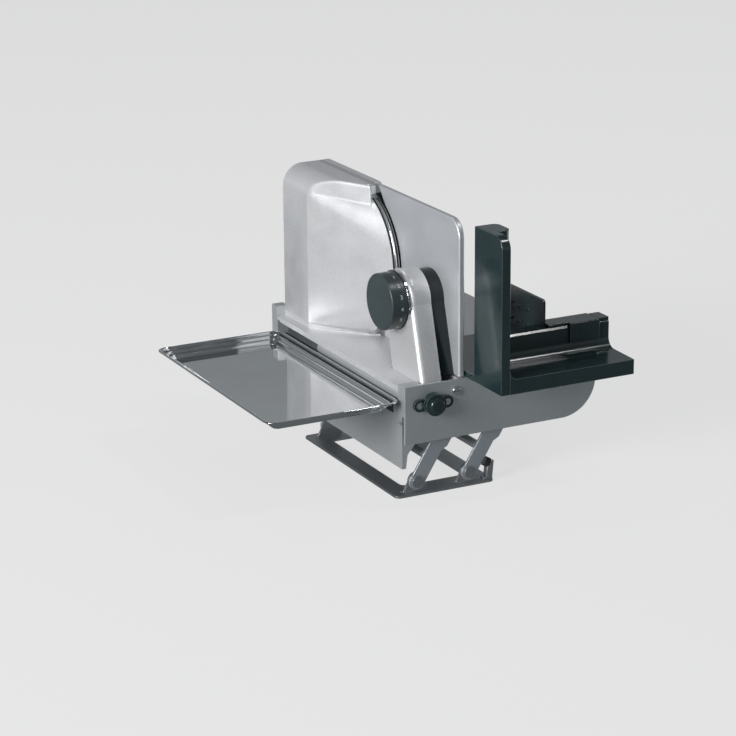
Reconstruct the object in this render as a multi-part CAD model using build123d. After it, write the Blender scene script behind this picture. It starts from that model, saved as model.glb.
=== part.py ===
from build123d import *
import math
import os

# Built-in food slicer on a swing linkage, in millimetres.
# The part frame has its origin on the floor face, in the middle of the base frame.
# X runs right along the machine's front, Y runs away from the user, Z is up.
# Machine pieces are drawn from the front plate's top left front corner and then moved.

# Clearances
running = 0.05          # radial clearance of a shaft or pin in its bore
slip = 0.3              # clearance between pieces that slide or stand beside each other
seam = 0.4              # open line between two covers

# Base frame and swing linkage
frame_sheet = 2.5
frame_length = 124.0
frame_margin = 7.0        # floor sheet outside the arms' planes
frame_rail = 22.0
frame_cross = 30.0
frame_corner = 6.0
screw_spacing_x = 102.0
screw_hole_r = 2.25
pivot_height = 14.5
pivot_spacing = 66.0
pair_spacing = 222.0
frame_depth = pair_spacing + 2 * frame_margin
screw_spacing_y = frame_depth - 26.0
arm_length = 77.0
arm_lean = 32.0
arm_sheet = 3.0
arm_width = 18.0
arm_head_r = 15.0
arm_foot_r = 10.0
arm_flare = 34.0        # length of the wider stretch below the upper pivot
pin_r = 4.0
pin_head_r = 7.0
pin_head = 1.8
ear_gap = 0.6
tube_r = 5.0
tube_from_foot = 30.0
tube_wall = 1.5
buffer_r = 5.5
buffer_length = 8.0
buffer_height = 30.0
stop_sheet = 3.0
stop_width = 8.0

# Front plate and cradle
plate_length = 245.0
plate_height = 67.0
plate_sheet = 2.5
plate_corner = 44.0
flange_depth = 16.0
flange_height = 35.0
flange_top = 21.0
upper_pivot_x = 59.3
upper_pivot_z = -48.0
cradle_gap = 0.3
arm_front = 5.5         # from the front plate's face to the front arms
web_gap = 4.0           # from the arm's inner face to the cradle web
cradle_sheet = 2.0
cradle_bottom = -99.0
cradle_web_bottom = -64.0
cradle_web_length = 150.0
gusset_top = 20.0
gusset_foot = 5.0
deck_bottom = -12.0
deck_top = -0.5
deck_wall = 3.0
deck_left = 68.0
deck_right = 243.0
trough_wall = 3.0
deck_pad_r = 5.0
screw_side = 9.0        # deck screws in from the cradle's left wall
screw_along = 60.0
screw_tip = 20.0
screw_in = 7.0
small_screw_r = 2.0
machine_depth = 332.0
rear_flange_depth = 15.0
cord_x = 120.0
cord_z = -40.0
cord_hole_r = 7.0
cord_r = 3.5
grommet_lip = 2.5
rear_top = 7.0
post_right = 17.0
cover_low = -5.0
cover_high = 1.5
cover_wall = 2.5

# Motor housing and blade
blade_y = machine_depth - 110.0
blade_z = 86.0
blade_r = 85.0
blade_plane = 75.4
blade_hub_r = 30.0
blade_dish = 6.5
blade_sheet = 1.4
blade_flange_r = 27.0
drive_circle_r = 22.0   # three studs that turn the blade
drive_stud_r = 2.4
lip_x = 57.0
lip_r = 86.0
housing_left = 13.0
housing_front = machine_depth - 65.0
housing_top = 181.0
housing_round = 25.0
housing_right = 66.0
housing_nose = machine_depth - 137.5    # front end of the top at the blade side
housing_wall = 3.0
housing_seam = 3.0
facet_top = 7.0
cone_foot = 8.0
cone_angle = 27.0
facet_angle = 58.0
lip_ring = 2.5
guard_x = 74.6
guard_nose = machine_depth - 136.5
plate_disc = 3.0
bearing_r = 13.0
bearing_flange = 5.0

# Drive
wheel_teeth = 24
wheel_module = 1.6
wheel_width = 5.0
wheel_x = 42.0
worm_r = 6.0
worm_tooth = 1.4         # thread height as a share of the module
worm_length = 26.0
shaft_r = 6.0
worm_shaft_r = 3.0
motor_r = 14.0
motor_bottom = 116.0
motor_length = 48.0
lock_r = 17.0
lock_height = 5.0

# Thickness setting
arm_left = 25.0
arm_right = 50.0
dial_y = 65.5
dial_z = 80.5
setter_r = 34.0
setter_front = 6.0
setter_rear = 80.0
setter_wall = 3.0
setter_round = 6.0
carrier_left = 45.0
carrier_wall = 3.0
stop_left = 68.0
stop_thick = 7.0
stop_top = 179.0
stop_rear = machine_depth - 138.5
stop_front = 1.0
stop_bottom = 2.0
stop_corner = 22.0
stop_foot = machine_depth - 154.0
stop_clear = 2.0        # radial gap between blade and stop plate
dial_r = 32.0
dial_left = 3.0
dial_wall = 3.0
collar_r = 33.6
collar_thick = 2.6
spindle_r = 5.0
guide_r = 4.0
guide_boss = 3.0

# Switch
switch_x = 34.0
switch_z = -22.5
switch_screws = 35.0
switch_proud = 4.0
switch_r = 12.5
switch_ear_r = 7.0
switch_collar = 6.0
switch_half_x = 11.0
switch_half_z = 8.0
switch_depth = 16.0
spring_room = 5.0
button_r = 9.0
button_proud = 5.5
button_flange = 1.5
head_screw_x = 64.0
head_screw_z = -12.7
head_screw_r = 5.0

# Carriage and food holder
carriage_left = 76.0
carriage_right = 245.0
carriage_front = -78.0
carriage_rear = 118.0
carriage_bottom = 0.6
table_top = 8.0
guard_thick = 11.0
guard_depth = 60.0
guard_height = 176.0
guard_corner = 15.0
guard_wall = 3.0
hook_reach = 17.0       # how far the guard's top reaches out over the thumb
hook_depth = 32.0
hook_corner = 8.0
hook_height = 12.0
guard_sweep = 10.0      # radius between the guard and the front lip
lip_height = 17.5
wall_front = -25.0
wall_rear = -3.0
wall_top = 49.5
shelf_rise = 0.9
shelf_round = 12.0      # radius between the hand shelf and the push wall
carriage_wall = 4.0
rail_x = 110.0
rail_head = 12.0
rail_stem = 6.0
rail_sheet = 2.0
groove_half = 9.5
groove_front = 6.0
groove_rear = machine_depth - 12.0
groove_floor = -9.5
glide_length = 30.0
rider_left = 193.0
rider_right = 231.0
rider_sheet = 3.0
rider_drop = 23.0
pusher_x = 166.0
pusher_thick = 3.0
pusher_front = -14.0
pusher_rear = 96.0
pusher_top = 80.0
pusher_bottom = 10.0

# Tray
tray_left = -163.0
tray_right = -1.5
tray_front = 4.0
tray_rear = 318.0
tray_top = -17.0
tray_depth = 12.0
tray_sheet = 1.0
tray_rim = 7.0
ledge_sheet = 1.5
tray_step = 4.0
tray_corner = 14.0
ledge_width = 5.5
ledge_height = 13.5

# Places worked out from the sizes above
lean = math.radians(arm_lean)
cradle_left = plate_sheet + cradle_gap
machine_x = -pivot_spacing / 2 + arm_length * math.sin(lean) - upper_pivot_x
machine_y = -(pair_spacing / 2 + arm_sheet / 2 + arm_front)
machine_z = pivot_height + arm_length * math.cos(lean) - upper_pivot_z
web_front = arm_front + arm_sheet + web_gap
web_rear = 2 * -machine_y - web_front
right_pivot_x = upper_pivot_x + pivot_spacing
disc_left = lip_x + slip
glide_front = 15.0
glide_rear = carriage_rear - glide_length - 8
facet_z = blade_z + lip_r * math.sin(math.radians(facet_angle))
facet_y = blade_y - lip_r * math.cos(math.radians(facet_angle))
worm_y = blade_y + wheel_teeth * wheel_module / 2 + worm_r
stop_right = stop_left + stop_thick
cutout_r = blade_r + stop_clear


def block(x0, x1, y0, y1, z0, z1):
    """Box between two corners."""
    return Pos(x0, y0, z0) * Box(x1 - x0, y1 - y0, z1 - z0, align=(Align.MIN, Align.MIN, Align.MIN))


def rod_x(y, z, radius, x0, x1):
    """Cylinder along X."""
    bar = Cylinder(radius, x1 - x0, align=(Align.CENTER, Align.CENTER, Align.MIN))
    return Pos(x0, y, z) * Rot(0, 90, 0) * bar


def rod_y(x, z, radius, y0, y1):
    """Cylinder along Y."""
    bar = Cylinder(radius, y1 - y0, align=(Align.CENTER, Align.CENTER, Align.MIN))
    return Pos(x, y0, z) * Rot(-90, 0, 0) * bar


def rod_z(x, y, radius, z0, z1):
    """Cylinder along Z."""
    return Pos(x, y, z0) * Cylinder(radius, z1 - z0, align=(Align.CENTER, Align.CENTER, Align.MIN))


def slab_x(sketch, x0, x1):
    """Extrude a sketch drawn in Y and Z along X."""
    return extrude(Plane.YZ.offset(x0) * sketch, amount=x1 - x0)


def slab_y(sketch, y0, y1):
    """Extrude a sketch drawn in X and Z along Y."""
    plane = Plane(origin=(0, y0, 0), x_dir=(1, 0, 0), z_dir=(0, -1, 0))
    return extrude(plane * sketch, amount=-(y1 - y0))


def slab_z(sketch, z0, z1):
    """Extrude a sketch drawn in X and Y along Z."""
    return extrude(Plane.XY.offset(z0) * sketch, amount=z1 - z0)


def outline(points):
    """Closed face through points."""
    return make_face(Polyline(*points, close=True))


def rectangle(u0, u1, v0, v1):
    """Rectangular face between two corners."""
    return Pos((u0 + u1) / 2, (v0 + v1) / 2) * Rectangle(u1 - u0, v1 - v0)


def disc(u, v, radius):
    """Round face."""
    return Pos(u, v) * Circle(radius)


def rounded(face, radius, keep=lambda corner: True):
    """Round the corners of a face that pass a test."""
    return fillet([corner for corner in face.vertices() if keep(corner)], radius)


def machine(shape):
    """Move a piece from the machine's corner into the part frame."""
    return Pos(machine_x, machine_y, machine_z) * shape


def link_outline(foot, head):
    """Outline of a swing arm between its two pivots, wider below its upper end."""
    along = (Vector(*head) - Vector(*foot)).normalized()
    side = Vector(along.Y, -along.X)
    flare = Vector(*head) - along * arm_flare
    step = Vector(*head) - along * (arm_flare - 7)
    half = arm_width / 2
    wide = arm_head_r - 2.0
    strap = outline([(foot[0] - side.X * half, foot[1] - side.Y * half),
                     (head[0] - side.X * half, head[1] - side.Y * half),
                     (head[0] + side.X * wide, head[1] + side.Y * wide),
                     (step.X + side.X * wide, step.Y + side.Y * wide),
                     (flare.X + side.X * half, flare.Y + side.Y * half),
                     (foot[0] + side.X * half, foot[1] + side.Y * half)])
    return strap + disc(*foot, arm_foot_r) + disc(*head, arm_head_r)


# Base body: frame, its pins and stops
floor_x = frame_length / 2
floor_y = frame_depth / 2
ear_front = -pair_spacing / 2 + arm_sheet / 2 + ear_gap
ears_y = [(ear_front, ear_front + frame_sheet), (-ear_front - frame_sheet, -ear_front)]
foot_x = [-pivot_spacing / 2, pivot_spacing / 2]


def build_base_frame():
    """Pressed frame on the drawer floor, with four ears for the swing arms."""
    floor = rounded(rectangle(-floor_x, floor_x, -floor_y, floor_y), frame_corner)
    window = rectangle(-floor_x + frame_rail, floor_x - frame_rail,
                       -floor_y + frame_cross, floor_y - frame_cross)
    floor = floor - rounded(window, frame_corner)
    for x in (-screw_spacing_x / 2, screw_spacing_x / 2):
        for y in (-screw_spacing_y / 2, screw_spacing_y / 2):
            floor = floor - disc(x, y, screw_hole_r)
    frame = slab_z(floor, 0, frame_sheet)
    for x in foot_x:
        ear = outline([(x - 16, frame_sheet - 0.5), (x + 16, frame_sheet - 0.5),
                       (x + arm_foot_r, pivot_height), (x - arm_foot_r, pivot_height)])
        ear = ear + disc(x, pivot_height, arm_foot_r)
        ear = ear - disc(x, pivot_height, pin_r)
        for y0, y1 in ears_y:
            frame = frame + slab_y(ear, y0, y1)
    return frame


def build_lower_pins():
    """Shouldered pins riveted in the ears, headed outside the arms."""
    pins = []
    for x in foot_x:
        for sign in (-1, 1):
            inner = -ear_front - frame_sheet
            outer = pair_spacing / 2 + arm_sheet / 2 + ear_gap / 2
            pin = rod_y(x, pivot_height, pin_r, inner, outer)
            pin = pin + rod_y(x, pivot_height, pin_head_r, outer, outer + pin_head)
            pins.append(pin if sign > 0 else mirror(pin, Plane.XZ))
    return pins


edge_dir = Vector(math.sin(lean), math.cos(lean))
face_dir = Vector(math.cos(lean), -math.sin(lean))
rest_along = (buffer_height - pivot_height) / math.cos(lean)
buffer_face = Vector(pivot_spacing / 2, pivot_height) + edge_dir * rest_along
buffer_face = buffer_face + face_dir * (arm_width / 2 + slip)
buffer_back = buffer_face + face_dir * buffer_length
bracket_toe = pivot_spacing / 2 + 1.7 * arm_foot_r


def build_stop_brackets():
    """Two bent brackets that hold the rubber buffers behind the right arms."""
    low = buffer_back + edge_dir * -buffer_r
    high = buffer_back + edge_dir * buffer_r
    back = face_dir * stop_sheet
    side = outline([(low.X, low.Y), (high.X, high.Y), (high.X + back.X, high.Y + back.Y),
                    (floor_x - 1, frame_sheet + stop_sheet), (floor_x - 1, frame_sheet),
                    (bracket_toe, frame_sheet), (bracket_toe, frame_sheet + stop_sheet),
                    (low.X - 1, frame_sheet + stop_sheet)])
    near = slab_y(side, -pair_spacing / 2 - stop_width / 2, -pair_spacing / 2 + stop_width / 2)
    return [near, mirror(near, Plane.XZ)]


def build_buffers():
    """Rubber buffers that the right arms lean on when the machine is up."""
    turn = Rot(0, 90 + arm_lean, 0)
    rubber = turn * Cylinder(buffer_r, buffer_length, align=(Align.CENTER, Align.CENTER, Align.MIN))
    near = Pos(buffer_face.X, -pair_spacing / 2, buffer_face.Y) * rubber
    return [near, mirror(near, Plane.XZ)]


# Swing arms, in the part frame
head_offset = Vector(arm_length * math.sin(lean), arm_length * math.cos(lean))


def build_arm(x, rear):
    """One pressed swing arm, front or rear."""
    foot = (x, pivot_height)
    head = (x + head_offset.X, pivot_height + head_offset.Y)
    face = link_outline(foot, head)
    face = face - disc(*foot, pin_r + running) - disc(*head, pin_r + running)
    y = pair_spacing / 2 if rear else -pair_spacing / 2
    return slab_y(face, y - arm_sheet / 2, y + arm_sheet / 2)


def build_cross_tube(x):
    """Tube that ties a front arm to its rear arm."""
    centre = Vector(x, pivot_height) + edge_dir * tube_from_foot
    half = pair_spacing / 2 - arm_sheet / 2
    tube = rod_y(centre.X, centre.Y, tube_r, -half, half)
    return tube - rod_y(centre.X, centre.Y, tube_r - tube_wall, -half, half)


# Cradle, in the machine frame from here on
def build_cradle_frame():
    """Folded sheet that carries the machine: left wall, front and rear webs and top flanges."""
    left, sheet = cradle_left, cradle_sheet
    wall = block(left, left + sheet, web_front, web_rear, cradle_bottom, deck_bottom)
    gusset = outline([(left, cradle_bottom), (left + gusset_foot, cradle_bottom),
                      (left + gusset_foot + 2, cradle_bottom + 16),
                      (left + gusset_top - 4, cradle_web_bottom - 8),
                      (left + gusset_top + 8, cradle_web_bottom),
                      (cradle_web_length, cradle_web_bottom), (cradle_web_length, deck_bottom),
                      (left, deck_bottom)])
    gusset = rounded(gusset, 8, lambda c: abs(c.X - cradle_web_length) < 1 and c.Y < -40)
    for x in (upper_pivot_x, right_pivot_x):
        gusset = gusset - disc(x, upper_pivot_z, pin_r)
    frame = wall
    window = rectangle(switch_x - switch_half_x - slip, switch_x + switch_half_x + slip,
                       switch_z - switch_half_z - slip, switch_z + switch_half_z + slip)
    frame = frame + slab_y(gusset - window, web_front, web_front + sheet)
    frame = frame + slab_y(gusset, web_rear - sheet, web_rear)
    lip = 14.0
    ring = rectangle(left, cradle_web_length, web_front, web_rear)
    ring = ring - rectangle(left + lip, cradle_web_length + 1, web_front + lip, web_rear - lip)
    frame = frame + slab_z(ring, deck_bottom - sheet, deck_bottom)
    for x, y in deck_screw_places():
        frame = frame - rod_z(x, y, small_screw_r, deck_bottom - sheet - 1, deck_bottom + 1)
    return frame


def build_upper_pins():
    """Shouldered pins riveted in the cradle webs."""
    pins = []
    middle = -machine_y
    for x in (upper_pivot_x, right_pivot_x):
        for sign in (-1, 1):
            inner = middle - web_front - cradle_sheet
            shoulder = middle - arm_front - arm_sheet - ear_gap / 2
            outer = middle - arm_front + ear_gap / 2
            pin = rod_y(x, upper_pivot_z, pin_r, inner, outer)
            pin = pin + rod_y(x, upper_pivot_z, pin_head_r, middle - web_front, shoulder)
            pin = pin + rod_y(x, upper_pivot_z, pin_head_r, outer, outer + pin_head)
            pin = pin if sign > 0 else mirror(pin, Plane.XZ)
            pins.append(Pos(0, middle, 0) * pin)
    return pins


def build_front_plate():
    """Pressed front plate with a folded left flange and a folded top edge."""
    face = rectangle(0, plate_length, -plate_height, 0)
    face = rounded(face, plate_corner, lambda c: c.X > 1 and c.Y < -1)
    face = rounded(face, 3.0, lambda c: c.X > plate_length - 1 and c.Y > -1)
    face = face - disc(switch_x, switch_z, switch_r - 2)
    for side in (-1, 1):
        face = face - disc(switch_x + side * switch_screws / 2, switch_z, 1.6)
    face = face - disc(head_screw_x, head_screw_z, 2.5)
    plate = slab_y(face, 0, plate_sheet)
    plate = plate + block(0, plate_sheet, 0, flange_depth, -flange_height, 0)
    plate = plate + block(0, flange_top, 0, flange_depth, -plate_sheet, 0)
    edges = [e for e in plate.edges() if abs(e.center().Y) < 0.01]
    return fillet(edges, 0.6)


def build_rear_plate():
    """Rear plate folded like the front one, with the cord's hole."""
    y0, y1 = machine_depth + slip, machine_depth + slip + rear_flange_depth
    face = rectangle(3, plate_length, -plate_height, deck_bottom + 8)
    face = rounded(face, plate_corner / 2, lambda c: c.X > plate_length - 1 and c.Y < -30)
    face = face - disc(cord_x, cord_z, cord_hole_r)
    plate = slab_y(face, y1 - plate_sheet, y1)
    post = block(plate_sheet, post_right, y0, y1, -flange_height, rear_top)
    hollow = block(2 * plate_sheet, post_right - plate_sheet, y0 + plate_sheet, y1 + 1,
                   -flange_height - 1, rear_top - plate_sheet)
    plate = plate + post - hollow
    plate = plate + block(30, 200, y0 - 12, y1, deck_bottom - plate_sheet, deck_bottom)
    return plate


def deck_screw_places():
    """Places of the four screws between the cradle's top flanges and the deck."""
    return [(cradle_left + screw_side, web_front + screw_along),
            (cradle_left + screw_side, web_rear - screw_along),
            (cradle_web_length - screw_tip, web_front + screw_in),
            (cradle_web_length - screw_tip, web_rear - screw_in)]


def build_deck_screws():
    """Pan-head screws from the cradle's top flanges up into the deck."""
    screws = []
    for x, y in deck_screw_places():
        head = rod_z(x, y, 4.0, deck_bottom - cradle_sheet - 2.4, deck_bottom - cradle_sheet)
        shank = rod_z(x, y, small_screw_r, deck_bottom - cradle_sheet, deck_bottom + deck_wall)
        screws.append(fillet(head.edges().group_by(Axis.Z)[0], 0.8) + shank)
    return screws


def build_deck():
    """Cast deck: low on the left under the covers, a ribbed hollow table on the right."""
    right = deck_right
    depth = machine_depth - 2
    table = slab_z(rounded(rectangle(deck_left, right, plate_sheet + slip, depth), 12,
                           lambda c: c.X > deck_left + 1 and c.Y > 20), deck_bottom, deck_top)
    hollow = block(deck_left + deck_wall, right - deck_wall, plate_sheet + slip + deck_wall,
                   depth - deck_wall, deck_bottom, deck_top - deck_wall)
    table = table - hollow
    trough = groove_half + trough_wall
    table = table + block(rail_x - trough, rail_x + trough, plate_sheet + slip, depth, deck_bottom, deck_top)
    apron = block(cradle_left + 2, deck_left + 1, flange_depth + 1, depth,
                  deck_bottom, deck_bottom + deck_wall)
    deck = table + apron
    boss = rod_y(head_screw_x, head_screw_z, 6.0, plate_sheet + slip, web_front - slip)
    boss = boss - rod_y(head_screw_x, head_screw_z, 2.3, 0, web_front)
    deck = deck + boss
    for x, y in deck_screw_places():
        if x > deck_left:
            deck = deck + rod_z(x, y, deck_pad_r, deck_bottom, deck_top - deck_wall / 2)
        deck = deck - rod_z(x, y, small_screw_r, deck_bottom - 1, deck_bottom + deck_wall)
    groove = block(rail_x - groove_half, rail_x + groove_half, groove_front, groove_rear,
                   groove_floor, deck_top + 1)
    return deck - groove


def rail_profile(grow=0.0):
    """Stem and head of the guide rail in X and Z, grown all round by a clearance."""
    stem = rail_stem / 2 + grow
    head = rail_head / 2 + grow
    head_top = deck_top - 1
    profile = rectangle(rail_x - stem, rail_x + stem, groove_floor, head_top - 1)
    return profile + rectangle(rail_x - head, rail_x + head, head_top - rail_sheet - grow, head_top + grow)


def build_guide_rail():
    """T section rail sunk in the deck's groove, which the carriage's glides run on."""
    foot = rectangle(rail_x - groove_half + slip, rail_x + groove_half - slip, groove_floor,
                     groove_floor + rail_sheet)
    return slab_y(rail_profile() + foot, groove_front + slip, groove_rear - slip)


def build_glides():
    """Two moulded shoes under the carriage that hold the guide rail's head."""
    shoes = []
    for y in (glide_front, glide_rear):
        shoe = rectangle(rail_x - groove_half + slip, rail_x + groove_half - slip,
                         groove_floor + rail_sheet + slip, carriage_bottom)
        shoes.append(slab_y(shoe - rail_profile(slip), y, y + glide_length))
    return shoes


def circle_point(radius, angle):
    """Point on the lip circle, angle up from the front."""
    a = math.radians(angle)
    return (blade_y - radius * math.cos(a), blade_z + radius * math.sin(a))


def housing_section(x, points, arcs):
    """Face at x through points in Y and Z, where named edges are arcs of the lip circle."""
    edges = []
    for i, start in enumerate(points):
        end = points[(i + 1) % len(points)]
        a, b = Vector(x, *start), Vector(x, *end)
        if i in arcs:
            edges.append(ThreePointArc(a, Vector(x, *arcs[i]), b))
        else:
            edges.append(Line(a, b))
    return make_face(edges)


def housing_body(inset=0.0):
    """Square left end that turns into the round blade lip, with facets at the corners."""
    front = housing_front + inset * 1.2
    rear = machine_depth - inset
    top = housing_top - inset
    low = deck_bottom + deck_wall + inset
    radius = lip_r - inset
    x0 = housing_left + inset
    slope = (housing_front - housing_nose) / (housing_right - housing_left)
    nose = housing_front - (lip_x - housing_left) * slope + inset * 1.2
    cone_top = circle_point(radius, cone_angle)
    cone_low = circle_point(radius, -cone_angle)
    arc_top = circle_point(radius, facet_angle)
    arc_low = circle_point(radius, -facet_angle)
    z_facet = housing_top - facet_top - inset * 0.6
    z_low = housing_seam + facet_top + inset * 0.6
    left = [(rear, low), (rear, top), (front, top), (front, z_facet), (front, z_facet - cone_foot),
            (front, z_low), (front, z_low - cone_foot), (front, low)]
    right = [(rear, low), (rear, top), (nose, top), arc_top, cone_top, cone_low, arc_low, (nose, low)]
    mids = {3: circle_point(radius, (facet_angle + cone_angle) / 2), 4: circle_point(radius, 0),
            5: circle_point(radius, -(facet_angle + cone_angle) / 2)}
    body = loft([housing_section(x0, left, {}), housing_section(lip_x, right, mids)], ruled=True)
    limit = rectangle(x0, housing_right + 10, low - 10, top)
    limit = rounded(limit, housing_round - inset, lambda c: c.X < x0 + 1 and c.Y > 100)
    return body & slab_y(limit, 0, machine_depth + 10)


def housing_shoulder():
    """Stretch from the lip plane to the blade guard: corner facets and a round lip ring."""
    low = deck_bottom + deck_wall
    slope = (housing_front - housing_nose) / (housing_right - housing_left)
    sections = []
    for x in (lip_x, housing_right):
        nose = housing_nose + (housing_right - x) * slope
        points = [(machine_depth, low), (machine_depth, housing_top), (nose, housing_top),
                  (facet_y, facet_z), (facet_y, 2 * blade_z - facet_z), (nose, low)]
        sections.append(housing_section(x, points, {3: circle_point(lip_r, 0)}))
    hole = rod_x(blade_y, blade_z, lip_r - lip_ring, lip_x - 1, housing_right + 1)
    return loft(sections, ruled=True) - hole


def build_housing():
    """Motor housing shell above the seam."""
    shell = housing_body() + housing_shoulder()
    shell = shell - housing_body(housing_wall)
    above = block(0, 100, 0, machine_depth + 10, housing_seam, housing_top + 10)
    return shell & above


def setter_outline(inset=0.0):
    """Arm outline: round top about the dial, leaning forward to its foot."""
    radius = setter_r - inset
    foot = deck_bottom + deck_wall
    hull = outline([(setter_front + inset, foot), (setter_rear - inset, foot),
                    (dial_y + radius, dial_z), (dial_y - radius, dial_z)])
    return hull + disc(dial_y, dial_z, radius)


def build_base_cover():
    """Sloping cover below the housing seam, reaching forward round the adjuster arm."""
    low = deck_bottom + deck_wall
    slope = outline([(cradle_left, low), (deck_left - slip, low), (deck_left - slip, cover_high),
                     (cradle_left, cover_low)])
    hollow = outline([(cradle_left + cover_wall, low), (deck_left - slip - cover_wall, low),
                      (deck_left - slip - cover_wall, cover_high - cover_wall),
                      (cradle_left + cover_wall, cover_low - cover_wall)])
    cover = slab_y(slope, flange_depth + slip, machine_depth)
    lower = (housing_body() + housing_shoulder()) & block(0, 100, 0, machine_depth, low, housing_seam - seam)
    cover = cover + lower
    cover = cover - slab_y(hollow, flange_depth + slip + cover_wall, machine_depth - cover_wall)
    pocket = housing_body(housing_wall) & block(0, 100, 0, machine_depth, low, housing_seam)
    cover = cover - pocket
    cut = slab_x(offset(setter_outline(), slip), arm_left - slip, arm_right + 20)
    return cover - cut


def build_blade_guard():
    """Cover ring round the rear of the blade, flush with the food side."""
    face = rectangle(guard_nose, machine_depth, housing_seam, housing_top)
    face = face - disc(blade_y, blade_z, cutout_r)
    face = face - rectangle(guard_nose - 1, blade_y, housing_seam - 1, blade_z)
    return slab_x(face, housing_right + slip, guard_x)


def build_gear_plate():
    """Disc that closes the housing behind the blade and carries the drive."""
    face = disc(blade_y, blade_z, lip_r - lip_ring - slip) - disc(blade_y, blade_z, bearing_r)
    return slab_x(face, disc_left, disc_left + plate_disc)


def build_blade_bearing():
    """Flanged bearing bush of the blade shaft."""
    bush = rod_x(blade_y, blade_z, bearing_r, disc_left - 9, disc_left + plate_disc + 2)
    bush = bush + rod_x(blade_y, blade_z, bearing_r + bearing_flange, disc_left - 3, disc_left)
    return bush - rod_x(blade_y, blade_z, shaft_r + running, disc_left - 10, disc_left + plate_disc + 3)


def stud_places():
    """Where the three drive studs stand round the blade's axis."""
    turns = [math.radians(120 * k) for k in range(3)]
    return [(blade_y + drive_circle_r * math.cos(a), blade_z + drive_circle_r * math.sin(a)) for a in turns]


def build_blade():
    """Dished round blade with a ground bevel, revolved about its axis."""
    edge = blade_plane
    back = edge - blade_dish
    sheet = blade_sheet
    profile = outline([(back, shaft_r + running + 2), (back, blade_hub_r), (edge - sheet - 0.8, blade_r - 14),
                       (edge - sheet, blade_r - 8), (edge - 0.15, blade_r), (edge, blade_r),
                       (edge - 0.6, blade_r - 14), (back + sheet, blade_hub_r),
                       (back + sheet, shaft_r + running + 2)])
    turned = revolve(Plane.XY * profile, Axis.X, 360)
    disc_ring = Pos(0, blade_y, blade_z) * turned
    for y, z in stud_places():
        disc_ring = disc_ring - rod_x(y, z, drive_stud_r + 0.2, back - 1, back + sheet + 1)
    return disc_ring


def build_blade_shaft():
    """Stepped shaft with a flange that drives the blade."""
    back = blade_plane - blade_dish
    shaft = rod_x(blade_y, blade_z, shaft_r, wheel_x - wheel_width / 2 - 1, back)
    shaft = shaft + rod_x(blade_y, blade_z, blade_flange_r, back - 3, back)
    shaft = shaft + rod_x(blade_y, blade_z, shaft_r + 1.5, back, back + 2.5)
    for y, z in stud_places():
        shaft = shaft + rod_x(y, z, drive_stud_r, back, back + blade_sheet - 0.2)
    return shaft


def build_lock_screw():
    """Slotted cap that clamps the blade to its flange."""
    back = blade_plane - blade_dish + blade_sheet
    cap = rod_x(blade_y, blade_z, lock_r, back, back + lock_height)
    cap = fillet(cap.edges().group_by(Axis.X)[-1], 1.2)
    cap = cap - block(back + lock_height - 2, back + lock_height + 1,
                      blade_y - lock_r - 1, blade_y + lock_r + 1, blade_z - 1.5, blade_z + 1.5)
    return cap - rod_x(blade_y, blade_z, shaft_r + 1.5 + running, back - 1, back + 1.2)


def build_worm_wheel():
    """Moulded wheel on the blade shaft, toothed for the worm."""
    pitch_r = wheel_teeth * wheel_module / 2
    root = pitch_r - 1.2 * wheel_module
    tip = pitch_r + 0.7 * wheel_module
    face = disc(0, 0, root + 0.2)
    half_root, half_tip = 0.72 * wheel_module, 0.3 * wheel_module
    for k in range(wheel_teeth):
        tooth = outline([(root, -half_root), (tip, -half_tip), (tip, half_tip), (root, half_root)])
        face = face + Rot(0, 0, 360 * k / wheel_teeth) * tooth
    face = face - disc(0, 0, shaft_r)
    for k in range(6):
        a = math.radians(60 * k + 30)
        face = face - disc(11.5 * math.cos(a), 11.5 * math.sin(a), 3)
    return slab_x(Pos(blade_y, blade_z) * face, wheel_x - wheel_width / 2, wheel_x + wheel_width / 2)


def worm_turns(lead):
    """Odd number of thread turns, so that a wheel tooth always meets a thread gap."""
    return 2 * round((worm_length / lead - 1) / 2) + 1


def build_worm_shaft():
    """Motor shaft with its worm thread."""
    lead = math.pi * wheel_module
    core = worm_r - 0.85 * wheel_module
    turns = worm_turns(lead)
    start = blade_z - turns * lead / 2
    path = Helix(pitch=lead, height=turns * lead, radius=core - 0.2)
    root, tip = 0.7 * wheel_module, 0.3 * wheel_module
    height = worm_tooth * wheel_module
    section = Plane(origin=path @ 0, x_dir=(1, 0, 0), z_dir=path % 0) * outline(
        [(0, -root), (height, -tip), (height, tip), (0, root)])
    thread = sweep(section, path=path, is_frenet=True)
    spin = Rot(0, 0, -90)
    shaft = Cylinder(core, turns * lead + 4, align=(Align.CENTER, Align.CENTER, Align.MIN))
    worm = Pos(wheel_x, worm_y, start) * spin * thread + Pos(wheel_x, worm_y, start - 2) * shaft
    return worm + rod_z(wheel_x, worm_y, worm_shaft_r, start - 10, motor_bottom + motor_length - 4)


def build_motor():
    """Motor can with a bored shaft way."""
    can = rod_z(wheel_x, worm_y, motor_r, motor_bottom, motor_bottom + motor_length)
    can = fillet(can.edges().group_by(Axis.Z)[-1], 3)
    can = can - (rod_z(wheel_x, worm_y, motor_r + 1, motor_bottom + 4, motor_bottom + motor_length)
                 & block(wheel_x + motor_r - 2, wheel_x + motor_r + 1, 0, 400, 0, 400))
    return can - rod_z(wheel_x, worm_y, worm_shaft_r + running, motor_bottom - 1,
                       motor_bottom + motor_length - 3)


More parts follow.
